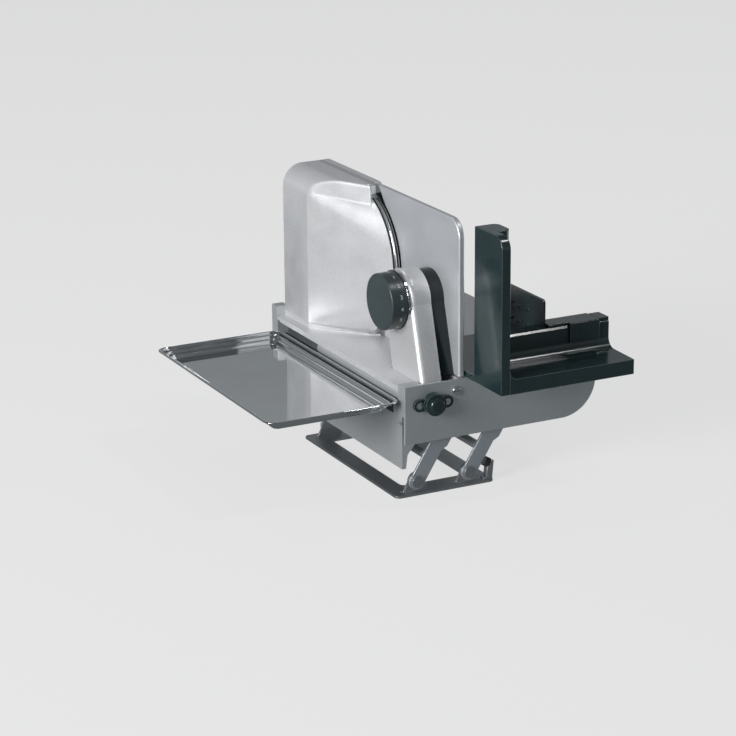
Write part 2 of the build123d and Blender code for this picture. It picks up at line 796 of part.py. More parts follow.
def build_gearbox():
    """Bracket that holds the motor and the worm's end bearings on the gear plate."""
    x1 = disc_left
    half = worm_r + 5
    lead = math.pi * wheel_module
    low = blade_z - worm_turns(lead) * lead / 2 - 2
    back = block(x1 - 3, x1, worm_y - half, worm_y + half, low - 8, motor_bottom)
    seat_low = block(wheel_x - half, x1, worm_y - half, worm_y + half, low - 8, low - slip)
    seat_top = block(wheel_x - motor_r + 3, x1, worm_y - motor_r + 2, worm_y + motor_r - 2,
                     motor_bottom - 5, motor_bottom)
    body = back + seat_low + seat_top
    body = body - rod_z(wheel_x, worm_y, worm_shaft_r + running, low - 9, motor_bottom + 1)
    body = body - rod_x(blade_y, blade_z, bearing_r + bearing_flange + slip, wheel_x, x1 + 1)
    return body - rod_x(blade_y, blade_z, wheel_teeth * wheel_module / 2 + 3, wheel_x - 20, x1 - 2)


# Thickness setting
def build_adjuster_arm():
    """Cast arm, open on its right side, that carries the dial and the guides."""
    arm = slab_x(setter_outline(), arm_left, arm_right)
    outer = arm.edges().group_by(Axis.X)[0]
    arm = fillet([e for e in outer if e.center().Z > 0], setter_round)
    arm = arm - slab_x(setter_outline(setter_wall), arm_left + setter_wall, arm_right + 1)
    arm = arm - rod_x(dial_y, dial_z, spindle_r + running, arm_left - 1, arm_left + setter_wall + 1)
    for y, z in guide_places():
        arm = arm - rod_x(y, z, guide_r, arm_left + setter_wall / 3, arm_left + setter_wall + 1)
    return arm


def guide_places():
    """Where the two guide rods stand in the arm."""
    return [(dial_y - 12, dial_z - 42), (dial_y - 22, dial_z - 66)]


def build_guide_rods():
    """Two steel rods that the plate carrier slides on."""
    return [rod_x(y, z, guide_r, arm_left + setter_wall / 3, arm_right) for y, z in guide_places()]


def build_carrier():
    """Moulded carrier that telescopes in the arm and holds the stop plate."""
    inset = setter_wall + slip
    body = slab_x(setter_outline(inset), carrier_left, stop_left)
    body = body & block(0, 100, -10, 200, cover_high + 1, 200)
    hollow = slab_x(setter_outline(inset + carrier_wall), carrier_left - 1, stop_left - carrier_wall)
    hollow = hollow & block(0, 100, -10, 200, cover_high + 1 + carrier_wall, 200)
    body = body - hollow
    end = stop_left - carrier_wall
    for y, z in guide_places() + [(dial_y, dial_z)]:
        radius = spindle_r if (y, z) == (dial_y, dial_z) else guide_r
        boss = rod_x(y, z, radius + guide_boss, carrier_left, end + 0.5)
        body = body + boss
        body = body - rod_x(y, z, radius + running, carrier_left - 1, end)
    for y, z in plate_screw_places():
        body = body - rod_x(y, z, 2.0, end - 1, stop_left + 1)
    return body


def build_stop_plate():
    """Stop plate that the food slides along, cut out round the blade."""
    face = rectangle(stop_front, stop_rear, stop_bottom, stop_top)
    face = rounded(face, stop_corner, lambda c: c.X < 10 and c.Y > 100)
    face = face - rectangle(stop_foot, stop_rear + 1, stop_bottom - 1, blade_z)
    face = face - disc(blade_y, blade_z, cutout_r)
    lean_back = [(facet_y - stop_clear, facet_z), (housing_nose - stop_clear, housing_top)]
    upper = outline(lean_back + [(stop_rear + 9, housing_top), (stop_rear + 9, facet_z - 9)])
    face = face - upper - Pos(0, 2 * blade_z) * mirror(upper, Plane.XZ)
    plate = slab_x(face, stop_left, stop_right)
    for screw in build_stop_screws():
        plate = plate - screw
    front = [e for e in plate.edges() if e.center().Y < 40 or e.center().Z > stop_top - 1]
    front = [e for e in front if abs(e.center().X - (stop_left + stop_right) / 2) > stop_thick / 2 - 0.1]
    front = [e for e in front if e.center().Z > 20]
    return fillet(front, 2.0)


def plate_screw_places():
    """Places in Y and Z of the three screws of the stop plate."""
    return [(dial_y, dial_z + 16), (dial_y - 22, dial_z - 32), (dial_y - 6, dial_z - 62)]


def build_stop_screws():
    """Countersunk screws that hold the stop plate to its carrier."""
    screws = []
    for y, z in plate_screw_places():
        head = Cone(2.0, 4.0, 2.0, align=(Align.CENTER, Align.CENTER, Align.MIN))
        head = Pos(stop_right - 2.0, y, z) * Rot(0, 90, 0) * head
        screws.append(head + rod_x(y, z, 2.0, stop_left - carrier_wall, stop_right - 2.0))
    return screws


def build_dial():
    """Thickness dial, a hollow cap with a hub on the spindle."""
    right = arm_left - collar_thick - slip
    dial = rod_x(dial_y, dial_z, dial_r, dial_left, right)
    dial = fillet(dial.edges().group_by(Axis.X)[0], 1.6)
    dial = dial - rod_x(dial_y, dial_z, dial_r - dial_wall, dial_left + dial_wall, right + 1)
    dial = dial + rod_x(dial_y, dial_z, spindle_r + 4, dial_left + 1, right)
    return dial - rod_x(dial_y, dial_z, spindle_r, dial_left + dial_wall, right + 1)


def build_collar():
    """Bright index ring between the dial and the arm, with a pointer nib."""
    face = disc(dial_y, dial_z, collar_r) - disc(dial_y, dial_z, collar_r - 5)
    return slab_x(face, arm_left - collar_thick, arm_left)


def build_spindle():
    """Spindle that turns with the dial and draws the carrier along."""
    spindle = rod_x(dial_y, dial_z, spindle_r, dial_left + dial_wall, arm_right)
    end = rod_x(dial_y, dial_z, spindle_r + 2.5, arm_left + setter_wall + slip, arm_left + setter_wall + 2)
    return spindle + end


# Switch
def build_switch_flange():
    """Oval switch collar with two screw ears."""
    ears = rectangle(switch_x - switch_screws / 2, switch_x + switch_screws / 2,
                     switch_z - switch_ear_r, switch_z + switch_ear_r)
    for side in (-1, 1):
        ears = ears + disc(switch_x + side * switch_screws / 2, switch_z, switch_ear_r)
    ears = ears + disc(switch_x, switch_z, switch_r)
    body = slab_y(ears, -switch_proud, 0)
    body = body + rod_y(switch_x, switch_z, switch_r, -switch_proud - switch_collar, 0)
    for side in (-1, 1):
        x = switch_x + side * switch_screws / 2
        body = body - rod_y(x, switch_z, 1.8, -switch_proud - 1, 1)
        body = body - rod_y(x, switch_z, 4.0, -switch_proud - 1, -switch_proud + 2)
    body = body - rod_y(switch_x, switch_z, button_r + slip, -switch_proud - switch_collar - 1, 1)
    return body


def build_switch_screws():
    """Cross-head screws of the switch collar."""
    screws = []
    for side in (-1, 1):
        x = switch_x + side * switch_screws / 2
        screw = rod_y(x, switch_z, 3.6, -switch_proud + 0.1, -switch_proud + 2)
        screw = screw + rod_y(x, switch_z, 1.5, -switch_proud + 2, plate_sheet + 4)
        cross = rectangle(x - 2.2, x + 2.2, switch_z - 0.4, switch_z + 0.4)
        cross = cross + rectangle(x - 0.4, x + 0.4, switch_z - 2.2, switch_z + 2.2)
        cross = slab_y(cross, -switch_proud - 1, -switch_proud + 1.1)
        screws.append(screw - cross)
    return screws


def build_button():
    """Domed push button with a retaining flange."""
    tip = -switch_proud - switch_collar - button_proud
    button = rod_y(switch_x, switch_z, button_r, tip, plate_sheet + slip + button_flange)
    button = fillet(button.edges().group_by(Axis.Y)[0], 3.0)
    flange = plate_sheet + slip
    return button + rod_y(switch_x, switch_z, button_r + 2.0, flange, flange + button_flange)


def build_switch_body():
    """Snap switch behind the front plate, in its holder."""
    y0 = plate_sheet + slip + button_flange + spring_room
    body = block(switch_x - switch_half_x, switch_x + switch_half_x, y0, y0 + switch_depth,
                 switch_z - switch_half_z, switch_z + switch_half_z)
    ears = block(switch_x - switch_half_x - 4, switch_x + switch_half_x + 4, y0, web_front,
                 switch_z - switch_half_z, switch_z + switch_half_z)
    return body + ears


def coil(radius, wire_r, height, turns):
    """One unbroken coil of wire along Z from the origin."""
    path = Helix(pitch=height / turns, height=height, radius=radius)
    section = Plane(origin=path @ 0, z_dir=path % 0) * Circle(wire_r)
    return sweep(section, path=path, is_frenet=True)


def build_button_spring():
    """Return spring between the button and the switch."""
    y0 = plate_sheet + slip + button_flange
    wire = 0.5
    spring = coil(6.0, wire, spring_room - 2 * wire, 3)
    return Pos(switch_x, y0 + wire, switch_z) * Rot(-90, 0, 0) * spring


def build_head_screw():
    """Slotted cheese-head screw that ties the front plate to the deck."""
    screw = rod_y(head_screw_x, head_screw_z, head_screw_r, -2.6, 0)
    screw = fillet(screw.edges().group_by(Axis.Y)[0], 0.8)
    screw = screw + rod_y(head_screw_x, head_screw_z, 2.3, 0, plate_sheet + 8)
    return screw - block(head_screw_x - 6, head_screw_x + 6, -3, -1.6, head_screw_z - 0.6, head_screw_z + 0.6)


# Carriage
def build_carriage():
    """Moulded carriage: table, push wall and hand shelf in one piece."""
    left, right = carriage_left, carriage_right
    front = carriage_front
    table = rounded(rectangle(left, right, front, carriage_rear), 6, lambda c: c.Y > 0)
    table = table - rectangle(left, left + guard_thick, front, front + guard_depth)
    table = slab_z(table, carriage_bottom, table_top)
    level = lip_height + shelf_rise
    side = Polyline((front, carriage_bottom), (front, lip_height), (wall_front - shelf_round, level))
    rise = ThreePointArc((wall_front - shelf_round, level),
                         (wall_front - shelf_round * 0.293, level + shelf_round * 0.293),
                         (wall_front, level + shelf_round))
    top = Polyline((wall_front, level + shelf_round), (wall_front, wall_top - 2), (wall_front + 2, wall_top),
                   (wall_rear, wall_top), (wall_rear, carriage_bottom), (front, carriage_bottom))
    shelf = slab_x(make_face(side + rise + top), left + guard_thick, right)
    body = table + shelf
    body = body + block(rider_right + slip, right, wall_front + 1, wall_rear, wall_top - 1,
                        wall_top + slip + rider_sheet)
    corner_x, corner_z = left + guard_thick, lip_height
    corner = rectangle(corner_x, corner_x + guard_sweep, corner_z - 1, corner_z + guard_sweep)
    corner = corner - disc(corner_x + guard_sweep, corner_z + guard_sweep, guard_sweep)
    body = body + slab_y(corner, front, front + 5)
    hollow_left = left + guard_thick + carriage_wall
    under = block(hollow_left, right - carriage_wall, front + carriage_wall, wall_rear - carriage_wall,
                  carriage_bottom - 1, lip_height - carriage_wall)
    core = block(hollow_left, right - carriage_wall, wall_front + carriage_wall, wall_rear - carriage_wall,
                 lip_height - carriage_wall - 1, wall_top - carriage_wall)
    body = body - under - core
    return body


def build_thumb_guard():
    """Tall guard at the carriage's left end, hollow towards the thumb, with a hooked top."""
    left, front, top = carriage_left, carriage_front, carriage_bottom + guard_height
    rear = front + guard_depth
    face = rounded(rectangle(front, rear, carriage_bottom, top), guard_corner,
                   lambda c: c.X < front + 1 and c.Y > top / 2)
    pocket = rectangle(front + guard_wall, rear - guard_wall, wall_top + 4, top - guard_wall)
    pocket = rounded(pocket, guard_corner - guard_wall, lambda c: c.X < front + 10 and c.Y > top / 2)
    guard = slab_x(face, left, left + guard_thick)
    guard = guard - slab_x(pocket, left + guard_wall, left + guard_thick + 1)
    hook = rounded(rectangle(left + guard_wall, left + guard_thick + hook_reach, rear - hook_depth, rear),
                   hook_corner, lambda c: c.X > left + guard_thick)
    return guard + slab_z(hook, top - hook_height, top)


def build_slider():
    """Saddle of the food holder that rides on the push wall."""
    top0, top1 = wall_top + slip, wall_top + slip + rider_sheet
    bar = block(pusher_x + pusher_thick, rider_right, wall_front + 3,
                wall_rear + slip + rider_sheet, top0, top1)
    flap = block(rider_left, rider_right, wall_front - slip - rider_sheet, wall_front + 4,
                 top1 - rider_drop, top1)
    flap = fillet([e for e in flap.edges() if e.center().Y < wall_front - rider_sheet + 0.2
                   and e.center().Z > top1 - 1], 1.5)
    flap = flap - block(rider_left - 1, rider_right + 1, wall_front - slip, wall_front + 5, 0, top0)
    rear = block(pusher_x + pusher_thick, rider_right, wall_rear + slip, wall_rear + slip + rider_sheet,
                 top1 - rider_drop, top1)
    return bar + flap + rear


def build_pusher():
    """Upright plate of the food holder, notched over the push wall, with gripping spikes."""
    plate = rounded(rectangle(pusher_front, pusher_rear, wall_top + slip, pusher_top), 4,
                    lambda c: c.Y > pusher_top - 1)
    plate = plate + rectangle(wall_rear + slip, pusher_rear, pusher_bottom, pusher_top - 5)
    body = slab_x(plate, pusher_x, pusher_x + pusher_thick)
    for y in (20, 38, 56, 74):
        for z in (24, 42, 60):
            spike = Cone(1.8, 0.4, 5, align=(Align.CENTER, Align.CENTER, Align.MIN))
            body = body + Pos(pusher_x + 0.1, y, z) * Rot(0, -90, 0) * spike
    return body


# Tray
def tray_level(inset, z, lift=0.0):
    """Rounded rectangle of the tray at one height."""
    face = rectangle(tray_left + inset, tray_right - inset, tray_front + inset, tray_rear - inset)
    return Plane.XY.offset(z) * rounded(face, max(tray_corner - inset * 0.6, 3))


def tray_bowl(grow):
    """Stepped hollow of the tray, from the rim down, grown outward by a wall."""
    steps = 3
    body = None
    for k in range(steps):
        inset = tray_rim + k * tray_step - grow
        z0 = tray_top - k * tray_depth / steps
        z1 = tray_top - (k + 1) * tray_depth / steps - grow
        piece = loft([tray_level(inset, z0), tray_level(inset + tray_step * 0.7, z1)])
        body = piece if body is None else body + piece
    return body


def build_tray():
    """Polished collecting tray with a stepped rim."""
    rim = extrude(tray_level(0, tray_top - tray_sheet), amount=tray_sheet)
    return rim + tray_bowl(tray_sheet) - tray_bowl(0)


def build_tray_ledge():
    """Angle ledge on the cradle's left side that carries the tray's rim."""
    x0 = tray_right - ledge_width
    z1 = tray_top - tray_sheet - slip
    y0 = flange_depth + slip
    floor = block(x0, cradle_left, y0, tray_rear - 12, z1 - ledge_sheet, z1)
    return floor + block(x0, x0 + ledge_sheet, y0, tray_rear - 12, z1 - ledge_height, z1)


def build_grommet():
    """Rubber grommet of the cord's way out through the rear plate."""
    y1 = machine_depth + slip + rear_flange_depth
    y0 = y1 - plate_sheet
    body = rod_y(cord_x, cord_z, cord_hole_r, y0, y1)
    body = body + rod_y(cord_x, cord_z, cord_hole_r + 3, y1, y1 + grommet_lip)
    body = body + rod_y(cord_x, cord_z, cord_hole_r + 3, y0 - grommet_lip, y0)
    return body - rod_y(cord_x, cord_z, cord_r, y0 - grommet_lip - 1, y1 + grommet_lip + 1)


# Every piece by its name, then the export
parts = {
    "base_frame": build_base_frame(),
    "lower_pivot_pins": Compound(build_lower_pins()),
    "stop_brackets": Compound(build_stop_brackets()),
    "rubber_buffers": Compound(build_buffers()),
    "front_left_arm": build_arm(foot_x[0], False),
    "rear_left_arm": build_arm(foot_x[0], True),
    "left_cross_tube": build_cross_tube(foot_x[0]),
    "front_right_arm": build_arm(foot_x[1], False),
    "rear_right_arm": build_arm(foot_x[1], True),
    "right_cross_tube": build_cross_tube(foot_x[1]),
}
on_machine = {
    "cradle_frame": build_cradle_frame(),
    "upper_pivot_pins": Compound(build_upper_pins()),
    "front_plate": build_front_plate(),
    "rear_plate": build_rear_plate(),
    "deck": build_deck(),
    "deck_screws": Compound(build_deck_screws()),
    "guide_rail": build_guide_rail(),
    "base_cover": build_base_cover(),
    "motor_housing": build_housing(),
    "blade_guard": build_blade_guard(),
    "gear_plate": build_gear_plate(),
    "blade_bearing": build_blade_bearing(),
    "blade": build_blade(),
    "blade_shaft": build_blade_shaft(),
    "blade_lock_cap": build_lock_screw(),
    "worm_wheel": build_worm_wheel(),
    "worm_shaft": build_worm_shaft(),
    "motor": build_motor(),
    "gearbox_bracket": build_gearbox(),
    "adjuster_arm": build_adjuster_arm(),
    "guide_rods": Compound(build_guide_rods()),
    "plate_carrier": build_carrier(),
    "stop_plate": build_stop_plate(),
    "stop_plate_screws": Compound(build_stop_screws()),
    "thickness_dial": build_dial(),
    "index_collar": build_collar(),
    "dial_spindle": build_spindle(),
    "switch_collar": build_switch_flange(),
    "switch_screws": Compound(build_switch_screws()),
    "power_button": build_button(),
    "button_spring": build_button_spring(),
    "switch_body": build_switch_body(),
    "plate_screw": build_head_screw(),
    "carriage": build_carriage(),
    "carriage_glides": Compound(build_glides()),
    "thumb_guard": build_thumb_guard(),
    "food_holder_slider": build_slider(),
    "pusher_plate": build_pusher(),
    "tray": build_tray(),
    "tray_ledge": build_tray_ledge(),
    "cord_grommet": build_grommet(),
}
os.makedirs("parts", exist_ok=True)
for name, shape in on_machine.items():
    parts[name] = machine(shape)
for name, shape in parts.items():
    export_step(shape, f"parts/{name}.step")
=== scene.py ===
"""Studio scene of a built-in food slicer, raised on its swing linkage and ready to cut.

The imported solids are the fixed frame. This file dresses them, adds the fine pieces that the solids leave
out, and sets the floor, the lamps and the camera. The slicer's sizes are in millimetres, and at() turns a
place into metres in the row frame. The studio's sizes are in metres.
"""

from __future__ import annotations

import logging
import math
from dataclasses import dataclass, field
from enum import Enum

import bmesh
import bpy
from mathutils import Matrix, Vector

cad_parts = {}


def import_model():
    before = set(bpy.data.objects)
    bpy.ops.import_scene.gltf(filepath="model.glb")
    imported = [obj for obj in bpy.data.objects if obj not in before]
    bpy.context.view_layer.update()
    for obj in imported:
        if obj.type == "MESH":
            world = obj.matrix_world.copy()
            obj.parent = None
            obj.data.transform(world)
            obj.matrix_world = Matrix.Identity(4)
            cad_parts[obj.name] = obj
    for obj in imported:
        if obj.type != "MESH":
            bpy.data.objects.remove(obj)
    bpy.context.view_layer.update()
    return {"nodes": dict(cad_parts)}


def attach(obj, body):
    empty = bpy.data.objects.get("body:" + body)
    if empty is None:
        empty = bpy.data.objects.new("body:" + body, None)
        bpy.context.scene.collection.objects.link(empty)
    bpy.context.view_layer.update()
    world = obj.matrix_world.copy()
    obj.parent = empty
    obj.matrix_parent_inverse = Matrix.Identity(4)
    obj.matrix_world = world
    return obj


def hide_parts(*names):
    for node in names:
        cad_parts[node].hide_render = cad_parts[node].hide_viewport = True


log = logging.getLogger("slicer_scene")

Socket = bpy.types.NodeSocket
Pair = tuple[float, float]
Pairs = tuple[Pair, ...]
Triple = tuple[float, float, float]
Tone = tuple[float, float, float, float]

MM = 0.001
# The front plate's top left corner in the row frame, in millimetres. Every other place is counted from it.
MACHINE = Vector((-51.496, -118.0, 127.8))
# Depth and height of the axes that the dial and the blade turn on, and the radius of the lip by the blade.
DIAL_AXIS = (65.5, 80.5)
BLADE_AXIS = (222.0, 86.0)
LIP_RADIUS = 86.0
# Points nearer than MERGE are one, and nothing shorter than SLIVER is kept or divided by.
MERGE = 1e-7
SLIVER = 1e-6
# A Mix node for colours has several sockets of each name, so these are told apart by number.
MIX_SHARE, MIX_BASE, MIX_OVER, MIX_RESULT = 0, 6, 7, 2


def at(x: float, y: float, z: float) -> Vector:
    """Turn a place counted in millimetres from the front plate's top left corner into metres.

    Args:
        x: Millimetres to the right.
        y: Millimetres away from the user.
        z: Millimetres upward.

    Returns:
        The place in the row frame, in metres.
    """
    return (MACHINE + Vector((x, y, z))) * MM


def put(name: str, data: bpy.types.ID) -> bpy.types.Object:
    """Add an object to the scene.

    Args:
        name: Its name.
        data: Its mesh, curve, light or camera.

    Returns:
        The new object.
    """
    thing = bpy.data.objects.new(name, data)
    bpy.context.scene.collection.objects.link(thing)
    return thing


def baked(holder: bpy.types.Object) -> bpy.types.Mesh:
    """Turn a holder and its modifiers into a plain mesh.

    Args:
        holder: The object, which is removed.

    Returns:
        The mesh that it showed.
    """
    graph = bpy.context.evaluated_depsgraph_get()
    graph.update()
    mesh = bpy.data.meshes.new_from_object(holder.evaluated_get(graph))
    bpy.data.objects.remove(holder)
    return mesh


class NodeGraph:
    """A node tree being wired up."""

    def __init__(self, tree: bpy.types.NodeTree) -> None:
        """Take the tree to add to."""
        self.tree = tree

    def node(self, kind: str, **values: object) -> bpy.types.Node:
        """Add a node and set its named inputs or properties.

        Args:
            kind: Blender's node type.
            values: Inputs by name with spaces as underscores, or node properties.

        Returns:
            The new node.
        """
        node = self.tree.nodes.new(kind)
        for key, value in values.items():
            if hasattr(node, key):
                setattr(node, key, value)
            else:
                node.inputs[key.replace("_", " ")].default_value = value
        return node

    def wire(self, source: Socket, target: Socket) -> None:
        """Link two sockets."""
        self.tree.links.new(source, target)

    def blended(self, share: Socket, first: Socket, second: Socket) -> Socket:
        """Mix two shaders.

        Args:
            share: 0 for the first and 1 for the second.
            first: The first shader.
            second: The second shader.

        Returns:
            The mixed shader.
        """
        mix = self.node("ShaderNodeMixShader")
        self.wire(share, mix.inputs["Fac"])
        self.wire(first, mix.inputs[1])
        self.wire(second, mix.inputs[2])
        return mix.outputs["Shader"]


class Surface(NodeGraph):
    """A material being wired up: one principled shader and the nodes that feed it.

    The edges are lightened, partly as rubbing wear and partly as a painted highlight where rounded edges
    would catch the light, within the edge band's width in millimetres from an edge. It fades between two
    cosines of the rounded against the flat normal, and its patches, so many to a metre, leave the least share
    of it between them.
    """

    middle: Pair = (0.3, 0.7)
    wear_width: float = 1.1
    wear_samples: int = 4
    wear_turn: Pair = (0.80, 0.975)
    wear_patches: float = 70.0
    wear_least: float = 0.55

    def __init__(self, name: str) -> None:
        """Start a material with its shader and Object coordinates.

        Args:
            name: The material's name.
        """
        self.material = bpy.data.materials.new(name)
        self.material.use_nodes = True
        super().__init__(self.material.node_tree)
        self.shader = self.tree.nodes["Principled BSDF"]
        self.coords = self.tree.nodes.new("ShaderNodeTexCoord").outputs["Object"]

    def set(self, **values: object) -> None:
        """Set the shader's own sockets by name."""
        for key, value in values.items():
            self.shader.inputs[key.replace("_", " ")].default_value = value

    def stretched(self, scale: Triple) -> Socket:
        """Scale the Object coordinates.

        Args:
            scale: The factor along each axis.

        Returns:
            The coordinates' socket.
        """
        mapping = self.node("ShaderNodeMapping")
        mapping.inputs["Scale"].default_value = scale
        self.wire(self.coords, mapping.inputs["Vector"])
        return mapping.outputs["Vector"]

    def noise(self, scale: float, detail: float = 2.0, vector: Socket | None = None,
              rough: float = 0.5) -> Socket:
        """Noise pattern on the object.

        Args:
            scale: Cells to a metre.
            detail: Octaves.
            vector: Coordinates to use instead of the plain ones.
            rough: How strong the finer octaves are.

        Returns:
            The factor socket.
        """
        noise = self.node("ShaderNodeTexNoise", Scale=scale, Detail=detail, Roughness=rough)
        self.wire(vector or self.coords, noise.inputs["Vector"])
        return noise.outputs["Fac"]

    def spread(self, source: Socket, low: float, high: float, span: Pair = middle) -> Socket:
        """Map a pattern's middle range onto a range of values.

        Args:
            source: The pattern.
            low: The value where the range starts.
            high: The value where it ends.
            span: Where the pattern's range starts and ends.

        Returns:
            The mapped socket.
        """
        ranged = self.node("ShaderNodeMapRange", From_Min=span[0], From_Max=span[1], To_Min=low, To_Max=high)
        self.wire(source, ranged.inputs["Value"])
        return ranged.outputs["Result"]

    def tint(self, source: Socket, dark: Triple, light: Triple) -> None:
        """Colour the surface between two colours by a pattern.

        Args:
            source: The pattern.
            dark: The colour where its middle range starts.
            light: The colour where it ends.
        """
        ramp = self.node("ShaderNodeValToRGB")
        for stop, position, color in zip(ramp.color_ramp.elements, self.middle, (dark, light)):
            stop.position = position
            stop.color = (*color, 1.0)
        self.wire(source, ramp.inputs["Fac"])
        self.wire(ramp.outputs["Color"], self.shader.inputs["Base Color"])

    def roughen(self, source: Socket, low: float, high: float) -> None:
        """Vary the roughness between two values by a pattern."""
        self.wire(self.spread(source, low, high), self.shader.inputs["Roughness"])

    def worn(self, color: Triple, amount: float) -> None:
        """Lighten the colour along the edges: partly rubbing wear where hands and cloths rub, partly a
        painted highlight along the rounded edges.

        Args:
            color: The colour of a fully lightened edge.
            amount: How much of it shows.
        """
        # Painted highlight and wear: the bevel mask lightens the colour along every rounded edge.
        rounded = self.node("ShaderNodeBevel", samples=self.wear_samples, Radius=self.wear_width * MM)
        flat = self.node("ShaderNodeNewGeometry")
        turn = self.node("ShaderNodeVectorMath", operation="DOT_PRODUCT")
        self.wire(rounded.outputs["Normal"], turn.inputs[0])
        self.wire(flat.outputs["True Normal"], turn.inputs[1])
        edge = self.spread(turn.outputs["Value"], amount, 0.0, self.wear_turn)
        patch = self.node("ShaderNodeMath", operation="MULTIPLY")
        self.wire(edge, patch.inputs[0])
        patches = self.noise(self.wear_patches, detail=3.0)
        self.wire(self.spread(patches, self.wear_least, 1.0), patch.inputs[1])
        mix = self.node("ShaderNodeMix", data_type="RGBA")
        mix.inputs[MIX_OVER].default_value = (*color, 1.0)
        self.wire(patch.outputs["Value"], mix.inputs[MIX_SHARE])
        self.wire(self.shader.inputs["Base Color"].links[0].from_socket, mix.inputs[MIX_BASE])
        self.wire(mix.outputs[MIX_RESULT], self.shader.inputs["Base Color"])

    def relief(self, source: Socket, strength: float, depth: float,
               under: Socket | None = None) -> Socket:
        """Raise a pattern as bump, on top of another if one is given.

        Args:
            source: The pattern.
            strength: How much of the bump shows.
            depth: Its height in metres.
            under: The normal of a coarser bump below it.

        Returns:
            The normal socket.
        """
        bump = self.node("ShaderNodeBump", Strength=strength, Distance=depth)
        self.wire(source, bump.inputs["Height"])
        if under is not None:
            self.wire(under, bump.inputs["Normal"])
        self.wire(bump.outputs["Normal"], self.shader.inputs["Normal"])
        return bump.outputs["Normal"]


def scaled(color: Triple, factor: float) -> Triple:
    """A colour made darker or lighter."""
    return tuple(min(1.0, c * factor) for c in color)


@dataclass(frozen=True)
class SparkleLacquer:
    """Silver lacquer with fine metal flakes over a slightly grained casting.

    In every finish a pattern is counted in cells to a metre, a depth is in metres, and the swing is what the
    pattern changes of the roughness.
    """

    name: str
    color: Triple
    metallic: float
    roughness: float
    grain: float
    contrast: float
    relief: float
    relief_depth: float = 0.00012
    smudges: float = 35.0
    swing: Pair = (-0.05, 0.06)
    coat: float = 0.15
    coat_roughness: float = 0.25
    # Edge lightening, partly wear and partly painted highlight: the tone of a fully lightened edge and how
    # much of it shows.
    bare: Triple = (0.92, 0.93, 0.94)
    wear: float = 0.75

    def build(self) -> bpy.types.Material:
        """Wire the lacquer up.

        Returns:
            The material.
        """
        s = Surface(self.name)
        flakes = s.noise(self.grain, detail=3.0, rough=0.7)
        s.tint(flakes, scaled(self.color, 1 - self.contrast), scaled(self.color, 1 + self.contrast))
        s.worn(self.bare, self.wear)
        s.set(Metallic=self.metallic, Coat_Weight=self.coat, Coat_Roughness=self.coat_roughness)
        smudges = s.noise(self.smudges, detail=3.0)
        s.roughen(smudges, *(self.roughness + change for change in self.swing))
        s.relief(flakes, self.relief, self.relief_depth)
        return s.material


@dataclass(frozen=True)
class BrushedMetal:
    """Metal with fine scratches, stretched out along the axis whose share of the pattern is the smallest."""

    name: str
    color: Triple
    along: Triple
    roughness: float
    contrast: float = 0.08
    metallic: float = 1.0
    lines: float = 60.0
    swing: Pair = (-0.06, 0.08)
    # Edge lightening, partly wear and partly painted highlight: how much lighter a fully lightened edge is,
    # and how much of it shows.
    bare: float = 1.5
    wear: float = 0.6
    relief: float = 0.08
    relief_depth: float = 0.00006

    def build(self) -> bpy.types.Material:
        """Wire the brushed metal up.

        Returns:
            The material.
        """
        s = Surface(self.name)
        lines = s.noise(self.lines, detail=4.0, vector=s.stretched(self.along), rough=0.65)
        s.tint(lines, scaled(self.color, 1 - self.contrast), scaled(self.color, 1 + self.contrast))
        s.worn(scaled(self.color, self.bare), self.wear)
        s.set(Metallic=self.metallic)
        s.roughen(lines, *(self.roughness + change for change in self.swing))
        s.relief(lines, self.relief, self.relief_depth)
        return s.material


@dataclass(frozen=True)
class Polished:
    """Polished or plated metal with the faint cloudiness that handling leaves."""

    name: str
    color: Triple
    roughness: float
    clouds: float = 28.0
    shades: Pair = (0.965, 1.02)
    swing: Pair = (0.6, 1.8)
    waves: float = 9.0
    relief: float = 0.05
    relief_depth: float = 0.0008

    def build(self) -> bpy.types.Material:
        """Wire the polished metal up.

        Returns:
            The material.
        """
        s = Surface(self.name)
        clouds = s.noise(self.clouds, detail=4.0, rough=0.6)
        s.tint(clouds, *(scaled(self.color, shade) for shade in self.shades))
        s.set(Metallic=1.0)
        s.roughen(clouds, *(self.roughness * change for change in self.swing))
        s.relief(s.noise(self.waves, detail=1.0), self.relief, self.relief_depth)
        return s.material


@dataclass(frozen=True)
class MouldedPlastic:
    """Moulded plastic, glossy or matt, with a trace of ripple and dust-fine grain."""

    name: str
    color: Triple
    roughness: float
    grain: float = 1600.0
    grain_depth: float = 0.00003
    coat: float = 0.0
    # Edge lightening, partly wear and partly painted highlight: what is added to the kept share of the colour
    # at an edge.
    rubbed: float = 0.06
    color_left: float = 0.9
    clouds: float = 18.0
    shades: Pair = (0.88, 1.12)
    # How much of the painted highlight and wear along the edges shows.
    wear: float = 0.9
    smudges: float = 45.0
    swing: Pair = (-0.04, 0.07)
    coat_roughness: float = 0.08
    ior: float = 1.5
    waves: float = 14.0
    wave_relief: float = 0.06
    wave_depth: float = 0.0010
    grain_relief: float = 0.10

    def build(self) -> bpy.types.Material:
        """Wire the plastic up.

        Returns:
            The material.
        """
        s = Surface(self.name)
        clouds = s.noise(self.clouds, detail=3.0)
        s.tint(clouds, *(scaled(self.color, shade) for shade in self.shades))
        s.worn(tuple(min(1.0, self.color_left * c + self.rubbed) for c in self.color), self.wear)
        s.set(Coat_Weight=self.coat, Coat_Roughness=self.coat_roughness, IOR=self.ior)
        smudges = s.noise(self.smudges, detail=4.0, rough=0.6)
        s.roughen(smudges, *(self.roughness + change for change in self.swing))
        waves = s.relief(s.noise(self.waves, detail=1.0), self.wave_relief, self.wave_depth)
        s.relief(s.noise(self.grain), self.grain_relief, self.grain_depth, waves)
        return s.material


